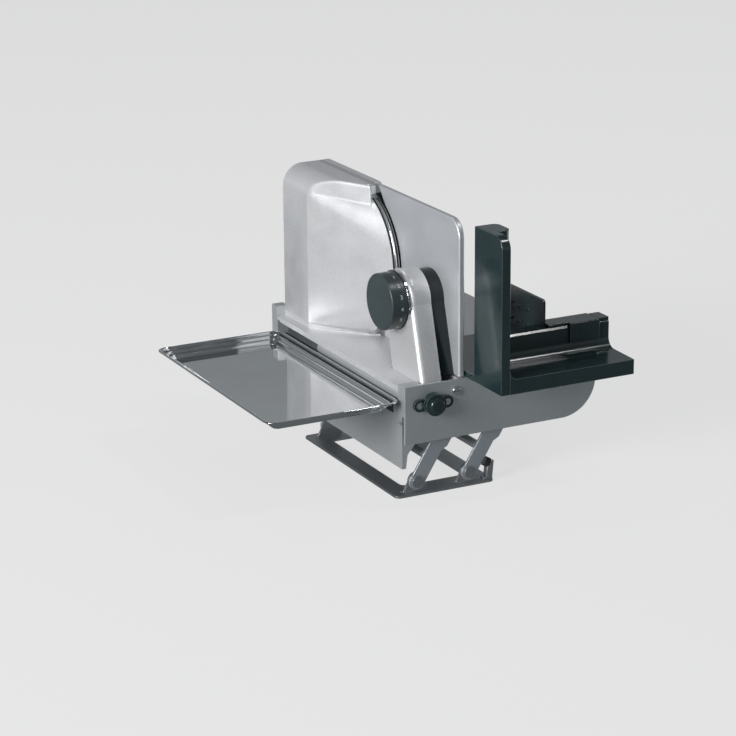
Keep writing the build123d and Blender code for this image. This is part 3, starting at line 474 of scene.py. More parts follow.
class Finish(Enum):
    """Every finish on the slicer."""

    SILVER = SparkleLacquer("silver_lacquer", (0.640, 0.640, 0.655), metallic=0.52, roughness=0.42,
                            grain=1100.0, contrast=0.20, relief=0.06)
    SILVER_ARM = SparkleLacquer("silver_arm_lacquer", (0.760, 0.760, 0.770), metallic=0.66, roughness=0.36,
                                grain=1100.0, contrast=0.14, relief=0.05)
    STOP = SparkleLacquer("stop_plate_anodised", (0.590, 0.605, 0.630), metallic=0.60, roughness=0.40,
                          grain=1500.0, contrast=0.10, relief=0.03)
    FRONT = SparkleLacquer("front_plate_satin", (0.500, 0.535, 0.540), metallic=0.66, roughness=0.36,
                           grain=1200.0, contrast=0.09, relief=0.04)
    WALL = SparkleLacquer("side_wall_satin", (0.560, 0.580, 0.590), metallic=0.66, roughness=0.40,
                          grain=1200.0, contrast=0.09, relief=0.04)
    LINK = BrushedMetal("swing_arm_steel", (0.56, 0.60, 0.64), along=(60.0, 60.0, 1.0), roughness=0.38,
                        contrast=0.06, metallic=0.8)
    ZINC = BrushedMetal("zinc_plated_sheet", (0.50, 0.51, 0.52), along=(1.0, 40.0, 40.0), roughness=0.36)
    STEEL = BrushedMetal("turned_steel", (0.55, 0.55, 0.56), along=(60.0, 60.0, 60.0), roughness=0.28)
    BLADE = BrushedMetal("ground_blade_steel", (0.60, 0.60, 0.60), along=(60.0, 8.0, 8.0), roughness=0.20,
                         contrast=0.06)
    ALUMINIUM = BrushedMetal("mill_aluminium", (0.55, 0.56, 0.57), along=(40.0, 1.0, 40.0), roughness=0.34)
    CHROME = Polished("bright_chrome", (0.74, 0.75, 0.76), roughness=0.06)
    TRAY = Polished("tray_mirror_steel", (0.68, 0.69, 0.70), roughness=0.045)
    # The dark mouldings' edges are lightened, partly as painted highlight and partly as wear.
    DARK = MouldedPlastic("dark_green_gloss", (0.011, 0.024, 0.026), roughness=0.18, coat=0.30, rubbed=0.24)
    DIAL = MouldedPlastic("dial_satin_dark", (0.036, 0.048, 0.052), roughness=0.34, rubbed=0.14)
    BLACK = MouldedPlastic("black_moulding", (0.003, 0.009, 0.010), roughness=0.19, grain=900.0,
                           grain_depth=0.00005)
    RUBBER = MouldedPlastic("black_rubber", (0.016, 0.016, 0.016), roughness=0.70, grain=700.0,
                            grain_depth=0.00010)
    POLYAMIDE = MouldedPlastic("cream_polyamide", (0.62, 0.57, 0.45), roughness=0.42, grain=900.0,
                               grain_depth=0.00005)
    BRONZE = BrushedMetal("sintered_bronze", (0.42, 0.27, 0.12), along=(30.0, 30.0, 30.0), roughness=0.42)
    NUMERAL = MouldedPlastic("printed_white", (0.62, 0.64, 0.65), roughness=0.45)


class Palette:
    """Builds each finish once and hands it out."""

    def __init__(self) -> None:
        """Start with nothing built."""
        self.built: dict[Finish, bpy.types.Material] = {}

    def get(self, finish: Finish) -> bpy.types.Material:
        """Hand out the material of a finish, built at its first use.

        Args:
            finish: The finish asked for.

        Returns:
            Its material.
        """
        if finish not in self.built:
            self.built[finish] = finish.value.build()
        return self.built[finish]


class GeometryTree(NodeGraph):
    """A geometry node group being wired up, with its sizes as named inputs."""

    def __init__(self, name: str) -> None:
        """Start an empty group with its output.

        Args:
            name: The group's name.
        """
        super().__init__(bpy.data.node_groups.new(name, "GeometryNodeTree"))
        self.tree.interface.new_socket("Geometry", in_out="OUTPUT", socket_type="NodeSocketGeometry")
        self.entry = self.tree.nodes.new("NodeGroupInput")
        self.values: dict[str, object] = {}

    def value(self, name: str, amount: float | int | tuple) -> Socket:
        """Add a named input and the value that it is baked with.

        Args:
            name: The input's name.
            amount: A length or angle, a whole number, or three numbers.

        Returns:
            The socket to wire from.
        """
        kind = {int: "NodeSocketInt", float: "NodeSocketFloat", tuple: "NodeSocketVector"}[type(amount)]
        socket = self.tree.interface.new_socket(name, in_out="INPUT", socket_type=kind)
        self.values[socket.identifier] = amount
        return self.entry.outputs[name]

    def math(self, operation: str, *terms: Socket | float) -> Socket:
        """Take one arithmetic step.

        Args:
            operation: Blender's name for it.
            terms: Sockets or plain numbers.

        Returns:
            The result's socket.
        """
        step = self.node("ShaderNodeMath", operation=operation)
        for term, target in zip(terms, step.inputs):
            if isinstance(term, (int, float)):
                target.default_value = term
            else:
                self.wire(term, target)
        return step.outputs["Value"]

    def bake(self, name: str, geometry: Socket, material: bpy.types.Material) -> bpy.types.Mesh:
        """Run the group on an empty mesh and keep what it makes.

        Args:
            name: The mesh's name.
            geometry: The last socket of the group.
            material: The material of everything in it.

        Returns:
            The finished mesh.
        """
        real = self.node("GeometryNodeRealizeInstances")
        painted = self.node("GeometryNodeSetMaterial", Material=material)
        self.wire(geometry, real.inputs["Geometry"])
        self.wire(real.outputs["Geometry"], painted.inputs["Geometry"])
        self.wire(painted.outputs["Geometry"], self.tree.nodes.new("NodeGroupOutput").inputs["Geometry"])
        holder = put(name, bpy.data.meshes.new(name))
        modifier = holder.modifiers.new("build", "NODES")
        modifier.node_group = self.tree
        for identifier, amount in self.values.items():
            modifier[identifier] = amount
        return baked(holder)


def finish_object(name: str, mesh: bpy.types.Mesh, material: bpy.types.Material, body: str,
                  smooth_angle: float = 35.0) -> bpy.types.Object:
    """Put a finished mesh in the scene on its body.

    Args:
        name: The piece's name.
        mesh: Its mesh, in the row frame.
        material: Its material.
        body: The body that it rides on.
        smooth_angle: Edges flatter than this are shaded smooth, in degrees.

    Returns:
        The new object.
    """
    mesh.materials.clear()
    mesh.materials.append(material)
    mesh.polygons.foreach_set("use_smooth", [True] * len(mesh.polygons))
    mesh.set_sharp_from_angle(angle=math.radians(smooth_angle))
    piece = put(name, mesh)
    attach(piece, body)
    log.info("%s: %d faces on %s", name, len(mesh.polygons), body)
    return piece


def mesh_of(name: str, built: bmesh.types.BMesh) -> bpy.types.Mesh:
    """Close a bmesh into a mesh with its normals outward.

    Args:
        name: The mesh's name.
        built: The bmesh, which is freed.

    Returns:
        The mesh.
    """
    bmesh.ops.remove_doubles(built, verts=built.verts, dist=MERGE)
    bmesh.ops.recalc_face_normals(built, faces=built.faces)
    mesh = bpy.data.meshes.new(name)
    built.to_mesh(mesh)
    built.free()
    return mesh


def rounded_loop(x0: float, x1: float, y0: float, y1: float, radius: float,
                 steps: int) -> list[Pair]:
    """Points of a rounded rectangle, counter-clockwise, the same count at any size.

    Args:
        x0: Its left side.
        x1: Its right side.
        y0: Its front side.
        y1: Its rear side.
        radius: The radius of its corners.
        steps: Steps round each corner.

    Returns:
        The points, from the front right corner on.
    """
    points = []
    for cx, cy, start in ((x1 - radius, y0 + radius, -90), (x1 - radius, y1 - radius, 0),
                          (x0 + radius, y1 - radius, 90), (x0 + radius, y0 + radius, 180)):
        for k in range(steps + 1):
            a = math.radians(start + 90 * k / steps)
            points.append((cx + radius * math.cos(a), cy + radius * math.sin(a)))
    return points


@dataclass
class CastAndPressed:
    """The solids that keep their own shape: they get softened edges and their finishes.

    Edge widths are in millimetres and creases in degrees. A solid that isn't listed takes the plain ones.
    """

    palette: Palette
    finishes: dict[Finish, str] = field(default_factory=lambda: {
        Finish.ZINC: "base_frame stop_brackets",
        Finish.STEEL: "lower_pivot_pins upper_pivot_pins motor guide_rods button_spring blade_shaft "
                      "worm_shaft dial_spindle",
        Finish.LINK: "front_left_arm rear_left_arm left_cross_tube front_right_arm rear_right_arm "
                     "right_cross_tube",
        Finish.WALL: "cradle_frame rear_plate",
        Finish.FRONT: "front_plate",
        Finish.SILVER: "deck base_cover motor_housing blade_guard",
        Finish.SILVER_ARM: "adjuster_arm",
        Finish.STOP: "stop_plate",
        Finish.ALUMINIUM: "guide_rail gear_plate gearbox_bracket",
        Finish.BRONZE: "blade_bearing",
        Finish.BLADE: "blade",
        Finish.CHROME: "deck_screws index_collar switch_screws plate_screw stop_plate_screws",
        Finish.TRAY: "tray",
        Finish.DARK: "switch_collar thumb_guard power_button carriage food_holder_slider pusher_plate",
        Finish.DIAL: "thickness_dial",
        # tray_ledge is black partly as painted shade: its hanging leg stands in for the shadow that the tray
        # casts on the cradle's left wall.
        Finish.BLACK: "switch_body tray_ledge blade_lock_cap plate_carrier",
        Finish.RUBBER: "rubber_buffers cord_grommet",
        Finish.POLYAMIDE: "carriage_glides worm_wheel"})
    soft_edges: dict[str, float] = field(default_factory=lambda: {
        "carriage": 0.9, "thumb_guard": 1.0, "food_holder_slider": 0.7, "pusher_plate": 0.7,
        "base_cover": 1.2, "adjuster_arm": 0.8, "stop_plate": 0.8, "front_plate": 0.9,
        "thickness_dial": 0.6, "plate_carrier": 0.8, "deck": 0.6, "switch_collar": 0.6, "blade_guard": 0.6})
    fine_creases: dict[str, float] = field(default_factory=lambda: {"base_cover": 12.0})
    plain: tuple[str, ...] = ("blade", "worm_shaft", "button_spring")
    edge: float = 0.3
    edge_steps: int = 3
    crease: float = 38.0
    flatness: float = 0.6

    def soften(self, node: bpy.types.Object) -> None:
        """Merge a solid's loose triangles and round its sharp edges, without touching its own mesh.

        Args:
            node: The solid's object in the frame.
        """
        weld = node.modifiers.new("merge", "WELD")
        weld.merge_threshold = SLIVER
        if node.name not in self.plain:
            flat = node.modifiers.new("flat_faces", "DECIMATE")
            flat.decimate_type = "DISSOLVE"
            flat.angle_limit = math.radians(self.flatness)
            edge = node.modifiers.new("edges", "BEVEL")
            edge.width = self.soft_edges.get(node.name, self.edge) * MM
            edge.segments = self.edge_steps
            edge.limit_method = "ANGLE"
            edge.angle_limit = math.radians(self.fine_creases.get(node.name, self.crease))
            edge.harden_normals = True
        weight = node.modifiers.new("shading", "WEIGHTED_NORMAL")
        weight.keep_sharp = True

    def build(self, nodes: dict[str, bpy.types.Object]) -> None:
        """Dress every solid.

        Args:
            nodes: The frame's nodes by name.
        """
        finish_of = {name: finish for finish, names in self.finishes.items() for name in names.split()}
        for name, node in nodes.items():
            material = self.palette.get(finish_of[name])
            node.data.materials.clear()
            node.data.materials.append(material)
            node.data.polygons.foreach_set("use_smooth", [True] * len(node.data.polygons))
            self.soften(node)
            log.info("%s dressed", name)


@dataclass
class CollectingTray:
    """The polished tray: a drawn dish with a beaded rim and stepped walls.

    The profile runs from the rim's outer edge to the flat bottom, as pairs of inset and height.
    """

    palette: Palette
    left: float = -163.0
    right: float = -1.5
    front: float = 4.0
    rear: float = 318.0
    top: float = -17.0
    corner: float = 14.0
    least_corner: float = 3.0
    corner_loss: float = 0.55
    corner_steps: int = 10
    sheet: float = 0.8
    profile: Pairs = (
        (0.0, -1.0), (0.15, -0.45), (0.7, -0.05), (1.6, 0.0), (2.6, 0.0), (3.2, -0.25), (3.7, -1.2),
        (4.3, -2.6), (4.9, -3.2), (5.9, -3.35), (7.4, -3.4), (8.3, -3.6), (8.8, -4.2), (9.4, -6.2),
        (10.0, -6.9), (11.0, -7.1), (12.2, -7.15), (13.0, -7.4), (13.5, -8.0), (14.2, -10.4), (15.0, -11.4),
        (16.2, -11.9), (18.0, -12.0))

    def build(self) -> None:
        """Draw the dish as nested rounded rectangles, then give it its sheet's thickness."""
        built = bmesh.new()
        rings = []
        for inset, z in self.profile:
            radius = max(self.corner - self.corner_loss * inset, self.least_corner)
            loop = rounded_loop(self.left + inset, self.right - inset, self.front + inset, self.rear - inset,
                                radius, self.corner_steps)
            rings.append([built.verts.new(at(x, y, self.top + z)) for x, y in loop])
        for low, high in zip(rings, rings[1:]):
            for k in range(len(low)):
                n = (k + 1) % len(low)
                built.faces.new((low[k], low[n], high[n], high[k]))
        built.faces.new(rings[-1])
        mesh = mesh_of("tray_dish", built)
        tray = finish_object("tray_dish", mesh, self.palette.get(Finish.TRAY), "tray_body",
                             smooth_angle=50)
        wall = tray.modifiers.new("sheet", "SOLIDIFY")
        wall.thickness = self.sheet * MM
        wall.offset = -1
        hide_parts("tray")


@dataclass
class HousingSkin:
    """The motor housing: a square left end that runs into the round lip, with a flat facet at the top corner.

    The sections are drawn in millimetres from the left end to the blade guard, then joined. Each has a front
    line, a rounded top and an upright back. The front line is straight at the left end and follows the lip's
    circle beside the blade. Both are divided alike: the heights on the straight edge belong to minus and plus
    the facet's and the cone's angle on the circle, with arc_steps between them.
    """

    palette: Palette
    left: float = 13.0
    lip_x: float = 57.0
    right: float = 66.0
    front: float = 267.0
    rear: float = 332.0
    top: float = 181.0
    low: float = -14.0
    seam: float = 3.0
    end_round: float = 25.0
    end_steps: int = 16
    facet_angle: float = 58.0
    cone_angle: float = 26.0
    heights: tuple[float, ...] = (2.0, 10.0, 156.0, 161.0)
    arc_steps: tuple[int, ...] = (6, 16, 10)
    foot_nose: float = 206.8
    facet_nose: float = 178.0
    facet_round: float = 2.2
    facet_end: float = 53.7
    facet_spans: int = 6
    set_back_gap: float = 0.15
    set_back_angles: tuple[float, ...] = (61.0, 64.0, 67.0, 70.0)
    guard_nose: float = 194.5
    guard_height: float = 168.2
    top_round: float = 4.2
    top_steps: int = 8
    top_clear: float = 2.3
    rear_round: float = 2.0
    rear_steps: int = 4
    bend_share: float = 0.45
    wall: float = 2.4

    def lip(self, angle: float) -> Vector:
        """Point on the lip circle, with the angle in degrees up from the front."""
        a = math.radians(angle)
        return Vector((BLADE_AXIS[0] - LIP_RADIUS * math.cos(a), BLADE_AXIS[1] + LIP_RADIUS * math.sin(a)))

    def bend(self, before: Vector, corner: Vector, after: Vector, reach: float, steps: int) -> list[Vector]:
        """Round a corner by a curve.

        Args:
            before: A place on the way to the corner.
            corner: The corner.
            after: A place on the way on.
            reach: The most that the curve starts and ends away from the corner.
            steps: Steps along the curve.

        Returns:
            The curve's points, one more than its steps.
        """
        ends = [corner + (place - corner) * min(self.bend_share, reach / max((place - corner).length, SLIVER))
                for place in (before, after)]
        return [ends[0] * (1 - t) ** 2 + corner * (2 * t * (1 - t)) + ends[1] * t ** 2
                for t in (k / steps for k in range(steps + 1))]

    def front_line(self, share: float, set_back: bool = False) -> list[Vector]:
        """Front edge of one section, from the bottom up.

        Args:
            share: 0 at the left end and 1 at the lip.
            set_back: True beside the stop plate, where the lip's circle goes on up behind the facet.

        Returns:
            Points in depth and height, always the same count.
        """
        turns = (-self.facet_angle, -self.cone_angle, self.cone_angle, self.facet_angle)
        marks = [(self.low, Vector((self.foot_nose, self.low)))]
        for k, steps in enumerate(self.arc_steps):
            rise, turn = self.heights[k + 1] - self.heights[k], turns[k + 1] - turns[k]
            marks += [(self.heights[k] + rise * n / steps, self.lip(turns[k] + turn * n / steps))
                      for n in range(steps)]
        marks.append((self.heights[-1], self.lip(turns[-1])))
        marks.append((self.top, Vector((self.facet_nose, self.top))))
        line = [Vector((self.front, height)).lerp(place, share) for height, place in marks]
        if set_back:
            risen = [self.lip(angle) for angle in self.set_back_angles]
            guard = [Vector((self.guard_nose, height)) for height in (self.guard_height, self.top)]
            return line[:-2] + risen + guard
        edge = self.bend(line[-3], line[-2], line[-1], self.facet_round, len(self.set_back_angles))
        return line[:-2] + edge + line[-1:]

    def held(self, line: list[Vector], height: float) -> list[Vector]:
        """Cut a front line off at the seam below and at a height above.

        Args:
            line: The front line.
            height: Where it ends above.

        Returns:
            As many points, with those past an end laid on it.
        """
        kept = []
        for k, place in enumerate(line):
            before, after = line[max(k - 1, 0)], line[min(k + 1, len(line) - 1)]
            if place.y < self.seam:
                place = place.lerp(after, (self.seam - place.y) / max(after.y - place.y, SLIVER)) \
                    if after.y > self.seam else Vector((place.x, self.seam))
            elif place.y > height:
                place = before.lerp(place, (height - before.y) / (place.y - before.y)) \
                    if before.y < height else kept[-1]
            kept.append(place)
        return kept

    def ring(self, x: float, share: float, set_back: bool = False) -> list[Vector]:
        """One section, from the seam at the front over the top to the seam at the back.

        Args:
            x: Its place across the machine.
            share: 0 at the left end and 1 at the lip.
            set_back: True beside the stop plate.

        Returns:
            Its points, always the same count.
        """
        height = self.top
        if x < self.left + self.end_round:
            across = self.left + self.end_round - x
            height += math.sqrt(max(self.end_round ** 2 - across ** 2, 0.0)) - self.end_round
        kept = self.held(self.front_line(share, set_back), height)
        corner = kept[-1]
        clear = self.top_clear * self.top_round
        far = next((p for p in reversed(kept) if (p - corner).length > clear), kept[0])
        rear_top, rear_seam = Vector((self.rear, height)), Vector((self.rear, self.seam))
        top_front = self.bend(far, corner, rear_top, self.top_round, self.top_steps)
        kept = [top_front[0] if (p - corner).length < clear else p for p in kept]
        top_rear = self.bend(corner, rear_top, rear_seam, self.rear_round, self.rear_steps)
        return [Vector((x, p.x, p.y)) for p in kept + top_front[1:] + top_rear + [rear_seam]]

    def build(self) -> None:
        """Join the sections, close the left end and give the skin its wall."""
        length, reach = self.lip_x - self.left, self.facet_end - self.left
        turns = [self.left + self.end_round * (1 - math.cos(math.radians(90 * k / self.end_steps)))
                 for k in range(self.end_steps + 1)]
        turns += [turns[-1] + (self.facet_end - turns[-1]) * k / self.facet_spans
                  for k in range(1, self.facet_spans + 1)]
        sections = [self.ring(x, (x - self.left) / length) for x in turns]
        sections.append(self.ring(self.facet_end + self.set_back_gap, reach / length, True))
        sections += [self.ring(x, 1.0, True) for x in (self.lip_x, self.right)]
        built = bmesh.new()
        rings = [[built.verts.new(at(*place)) for place in section] for section in sections]
        for one, two in zip(rings, rings[1:]):
            for k in range(len(one) - 1):
                built.faces.new((one[k], one[k + 1], two[k + 1], two[k]))
        built.faces.new(rings[0])
        bmesh.ops.dissolve_degenerate(built, dist=SLIVER, edges=built.edges[:])
        mesh = mesh_of("motor_housing_skin", built)
        skin = finish_object("motor_housing_skin", mesh, self.palette.get(Finish.SILVER), "machine",
                             smooth_angle=16)
        sheet = skin.modifiers.new("wall", "SOLIDIFY")
        sheet.thickness = self.wall * MM
        sheet.offset = -1
        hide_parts("motor_housing")


@dataclass
class DialNumerals:
    """White numerals printed one above the other round the dial's rim."""

    palette: Palette
    radius: float = 32.0
    proud: float = 0.04
    x: float = 15.2
    height: float = 4.6
    line_height: float = 1.45
    count: int = 10
    pitch: float = 24.0
    start: float = 92.0

    def build(self) -> None:
        """Write the numerals as one column of text and wrap the column round the rim."""
        tree = GeometryTree("wrapped_numerals")
        line = self.height * self.line_height
        size = tree.value("Text Size", line * MM)
        spacing = tree.value("Line Spacing", math.radians(self.pitch) * self.radius / line)
        radius = tree.value("Rim Radius", (self.radius + self.proud) * MM)
        start = tree.value("Start Angle", math.radians(self.start))
        centre = tree.value("Rim Centre", tuple(at(self.x, *DIAL_AXIS)))
        text = tree.node("GeometryNodeStringToCurves", align_x="CENTER")
        text.inputs["String"].default_value = "\n".join(str(k) for k in range(self.count))
        tree.wire(size, text.inputs["Size"])
        tree.wire(spacing, text.inputs["Line Spacing"])
        real = tree.node("GeometryNodeRealizeInstances")
        tree.wire(text.outputs["Curve Instances"], real.inputs["Geometry"])
        filled = tree.node("GeometryNodeFillCurve")
        tree.wire(real.outputs["Geometry"], filled.inputs["Curve"])
        finer = tree.node("GeometryNodeSubdivideMesh", Level=1)
        tree.wire(filled.outputs["Mesh"], finer.inputs["Mesh"])
        place = tree.node("ShaderNodeSeparateXYZ")
        tree.wire(tree.node("GeometryNodeInputPosition").outputs["Position"], place.inputs["Vector"])
        angle = tree.math("SUBTRACT", start, tree.math("DIVIDE", place.outputs["Y"], radius))
        round_y = tree.math("MULTIPLY", radius, tree.math("COSINE", angle))
        round_z = tree.math("MULTIPLY", radius, tree.math("SINE", angle))
        wrapped = tree.node("ShaderNodeCombineXYZ")
        for source, axis in ((place.outputs["X"], "X"), (round_y, "Y"), (round_z, "Z")):
            tree.wire(source, wrapped.inputs[axis])
        shifted = tree.node("ShaderNodeVectorMath", operation="ADD")
        tree.wire(wrapped.outputs["Vector"], shifted.inputs[0])
        tree.wire(centre, shifted.inputs[1])
        moved = tree.node("GeometryNodeSetPosition")
        tree.wire(finer.outputs["Mesh"], moved.inputs["Geometry"])
        tree.wire(shifted.outputs["Vector"], moved.inputs["Position"])
        material = self.palette.get(Finish.NUMERAL)
        mesh = tree.bake("dial_numerals", moved.outputs["Geometry"], material)
        finish_object("dial_numerals", mesh, material, "dial")


@dataclass(frozen=True)
class Band:
    """One band of the trim round the housing's lip: its middle, half width and half height."""

    name: str
    x: float
    half: float
    proud: float
    finish: Finish
    slot: str


@dataclass
class LipTrim:
    """Bright bead between two black bands on the round lip beside the blade; the black bands are painted
    shade that stands in for the dark gaps beside the bead.

    The bands run round the lip from the low to the high end, in degrees up from the front.
    """

    palette: Palette
    low_end: float = -57.0
    high_end: float = 67.0
    arc_steps: int = 96
    oval_steps: int = 16
    bands: tuple[Band, ...] = (
        # Painted shade: the two black bands stand in for the shadowed gaps either side of the bead.
        Band("lip_groove_outer", x=58.9, half=1.3, proud=0.16, finish=Finish.BLACK, slot="dark_plastic"),
        Band("lip_bead", x=61.7, half=0.95, proud=0.7, finish=Finish.CHROME, slot="collar_chrome"),
        Band("lip_groove_inner", x=64.2, half=1.2, proud=0.14, finish=Finish.BLACK, slot="dark_plastic"))

    def build(self) -> None:
        """Sweep each band's oval section along the lip's arc."""
        # Stands the arc up across the machine, with its start at the front.
        upright = Matrix(((0, 0, -1), (-1, 0, 0), (0, 1, 0))).to_euler()
        for band in self.bands:
            tree = GeometryTree(band.name)
            arc = tree.node("GeometryNodeCurveArc", mode="RADIUS", Resolution=self.arc_steps)
            arc.inputs["Start Angle"].default_value = math.radians(self.low_end)
            arc.inputs["Sweep Angle"].default_value = math.radians(self.high_end - self.low_end)
            tree.wire(tree.value("Lip Radius", LIP_RADIUS * MM), arc.inputs["Radius"])
            ring = tree.node("GeometryNodeCurvePrimitiveCircle", Resolution=self.oval_steps)
            tree.wire(tree.value("Half Width", band.half * MM), ring.inputs["Radius"])
            flat = tree.node("GeometryNodeTransform", Scale=(band.proud / band.half, 1.0, 1.0))
            tree.wire(ring.outputs["Curve"], flat.inputs["Geometry"])
            swept = tree.node("GeometryNodeCurveToMesh", Fill_Caps=True)
            tree.wire(arc.outputs["Curve"], swept.inputs["Curve"])
            tree.wire(flat.outputs["Geometry"], swept.inputs["Profile Curve"])
            stood = tree.node("GeometryNodeTransform", Rotation=upright)
            tree.wire(tree.value("Band Centre", tuple(at(band.x, *BLADE_AXIS))), stood.inputs["Translation"])
            tree.wire(swept.outputs["Mesh"], stood.inputs["Geometry"])
            material = self.palette.get(band.finish)
            mesh = tree.bake(band.name, stood.outputs["Geometry"], material)
            finish_object(band.name, mesh, material, "machine", smooth_angle=60)


@dataclass
class TrayHook:
    """Small wire hook below the front plate's left flange, with its bends as pairs of depth and height."""

    palette: Palette
    x: float = 0.2
    wire_radius: float = 0.6
    bends: Pairs = (
        (5.6, -34.2), (5.6, -40.5), (6.6, -43.4), (9.6, -45.2), (13.0, -44.6), (15.2, -42.4))

    def build(self) -> None:
        """Lead the wire through its bends."""
        curve = bpy.data.curves.new("tray_hook", "CURVE")
        curve.dimensions = "3D"
        curve.bevel_depth = self.wire_radius * MM
        curve.bevel_resolution = 4
        curve.use_fill_caps = True
        spline = curve.splines.new("NURBS")
        spline.points.add(len(self.bends) - 1)
        for point, (y, z) in zip(spline.points, self.bends):
            point.co = (*at(self.x, y, z), 1.0)
        spline.order_u = 3
        spline.use_endpoint_u = True
        mesh = baked(put("tray_hook", curve))
        finish_object("tray_hook", mesh, self.palette.get(Finish.STEEL), "machine",
                      smooth_angle=60)


@dataclass
class IndexNib:
    """Pointed nib on the chrome collar that the dial's numerals are read against.

    Its outline is drawn across the machine and along the rim, pointed at the dial. Each level is a lift off
    the rim and the share of the outline that is left there.
    """

    palette: Palette
    angle: float = 184.0
    radius: float = 33.4
    middle_x: float = 23.6
    outline: Pairs = ((21.4, 0.0), (23.4, 2.2), (24.9, 2.2), (24.9, -2.2), (23.4, -2.2))
    levels: Pairs = ((-0.6, 1.0), (1.3, 0.55))
    rounding: float = 0.25

    def build(self) -> None:
        """Raise a small wedge on the collar's rim, pointing at the dial."""
        built = bmesh.new()
        a = math.radians(self.angle)
        out = Vector((0.0, math.cos(a), math.sin(a)))
        along = Vector((0.0, -math.sin(a), math.cos(a)))
        middle = Vector((0.0, *DIAL_AXIS)) + out * self.radius
        ends = []
        for lift, share in self.levels:
            ring = []
            for x, side in self.outline:
                place = middle + out * lift + along * (side * share)
                place.x = self.middle_x + (x - self.middle_x) * share
                ring.append(built.verts.new(at(*place)))
            ends.append(ring)
            built.faces.new(ring)
        for k in range(len(ends[0])):
            n = (k + 1) % len(ends[0])
            built.faces.new((ends[0][k], ends[0][n], ends[1][n], ends[1][k]))
        bmesh.ops.recalc_face_normals(built, faces=built.faces)
        bmesh.ops.bevel(built, geom=built.edges[:], offset=self.rounding * MM, segments=2, affect="EDGES")
        mesh = mesh_of("index_nib", built)
        finish_object("index_nib", mesh, self.palette.get(Finish.CHROME), "machine",
                      smooth_angle=40)


@dataclass
class ShelfScrews:
    """Row of pan-head screws that hold the rear plate's shelf up against the deck.

    A head narrows by the share of its height that is reached: bulge is how far it closes, and curve how late.
    """

    palette: Palette
    count: int = 3
    first: Triple = (48.0, 326.0, -14.5)
    pitch: float = 67.0
    head_radius: float = 3.8
    head_height: float = 2.4
    head_sides: int = 32
    head_levels: tuple[float, ...] = (0.0, 0.45, 0.75, 0.92, 1.0)
    bulge: float = 0.86
    curve: float = 2.4
    rim: float = 0.45
    recess: float = 0.5

    def head(self) -> bpy.types.Object:
        """Turn one screw head, domed downward with a sunk middle.

        Returns:
            The pattern piece, which is removed once the row is made.
        """
        built = bmesh.new()
        sides = self.head_sides
        rings = []
        for part in self.head_levels:
            radius = self.head_radius * math.sqrt(1 - (part * self.bulge) ** self.curve)
            rings.append([built.verts.new(Vector((radius * math.cos(2 * math.pi * k / sides),
                                                  radius * math.sin(2 * math.pi * k / sides),
                                                  -self.head_height * part)) * MM) for k in range(sides)])
        for low, high in zip(rings, rings[1:]):
            for k in range(sides):
                built.faces.new((low[k], low[(k + 1) % sides], high[(k + 1) % sides], high[k]))
        built.faces.new(rings[0])
        face = built.faces.new(rings[-1])
        bmesh.ops.inset_region(built, faces=[face], thickness=self.rim * MM, depth=-self.recess * MM)
        return put("screw_pattern", mesh_of("screw_pattern", built))

    def build(self) -> None:
        """Set the heads along the shelf."""
        pattern = self.head()
        tree = GeometryTree("screw_row")
        line = tree.node("GeometryNodeMeshLine", mode="OFFSET")
        tree.wire(tree.value("Count", self.count), line.inputs["Count"])
        tree.wire(tree.value("First Place", tuple(at(*self.first))), line.inputs["Start Location"])
        tree.wire(tree.value("Pitch", (self.pitch * MM, 0.0, 0.0)), line.inputs["Offset"])
        shape = tree.node("GeometryNodeObjectInfo", Object=pattern)
        rows = tree.node("GeometryNodeInstanceOnPoints")
        tree.wire(line.outputs["Mesh"], rows.inputs["Points"])
        tree.wire(shape.outputs["Geometry"], rows.inputs["Instance"])
        material = self.palette.get(Finish.CHROME)
        mesh = tree.bake("rear_shelf_screws", rows.outputs["Instances"], material)
        bpy.data.objects.remove(pattern)
        finish_object("rear_shelf_screws", mesh, material, "machine", smooth_angle=40)


@dataclass(frozen=True)
class Lamp:
    """One soft round lamp of the studio, aimed at the slicer."""

    name: str
    place: Triple
    size: float
    energy: float
    target: Triple = (0.0, 0.0, 0.2)

    def build(self) -> None:
        """Hang the lamp."""
        light = bpy.data.lights.new(self.name, "AREA")
        light.shape = "DISK"
        light.size = self.size
        light.energy = self.energy
        lamp = put(self.name, light)
        lamp.location = self.place
        lamp.rotation_euler = (Vector(self.target) - Vector(self.place)).to_track_quat("-Z", "Y").to_euler()


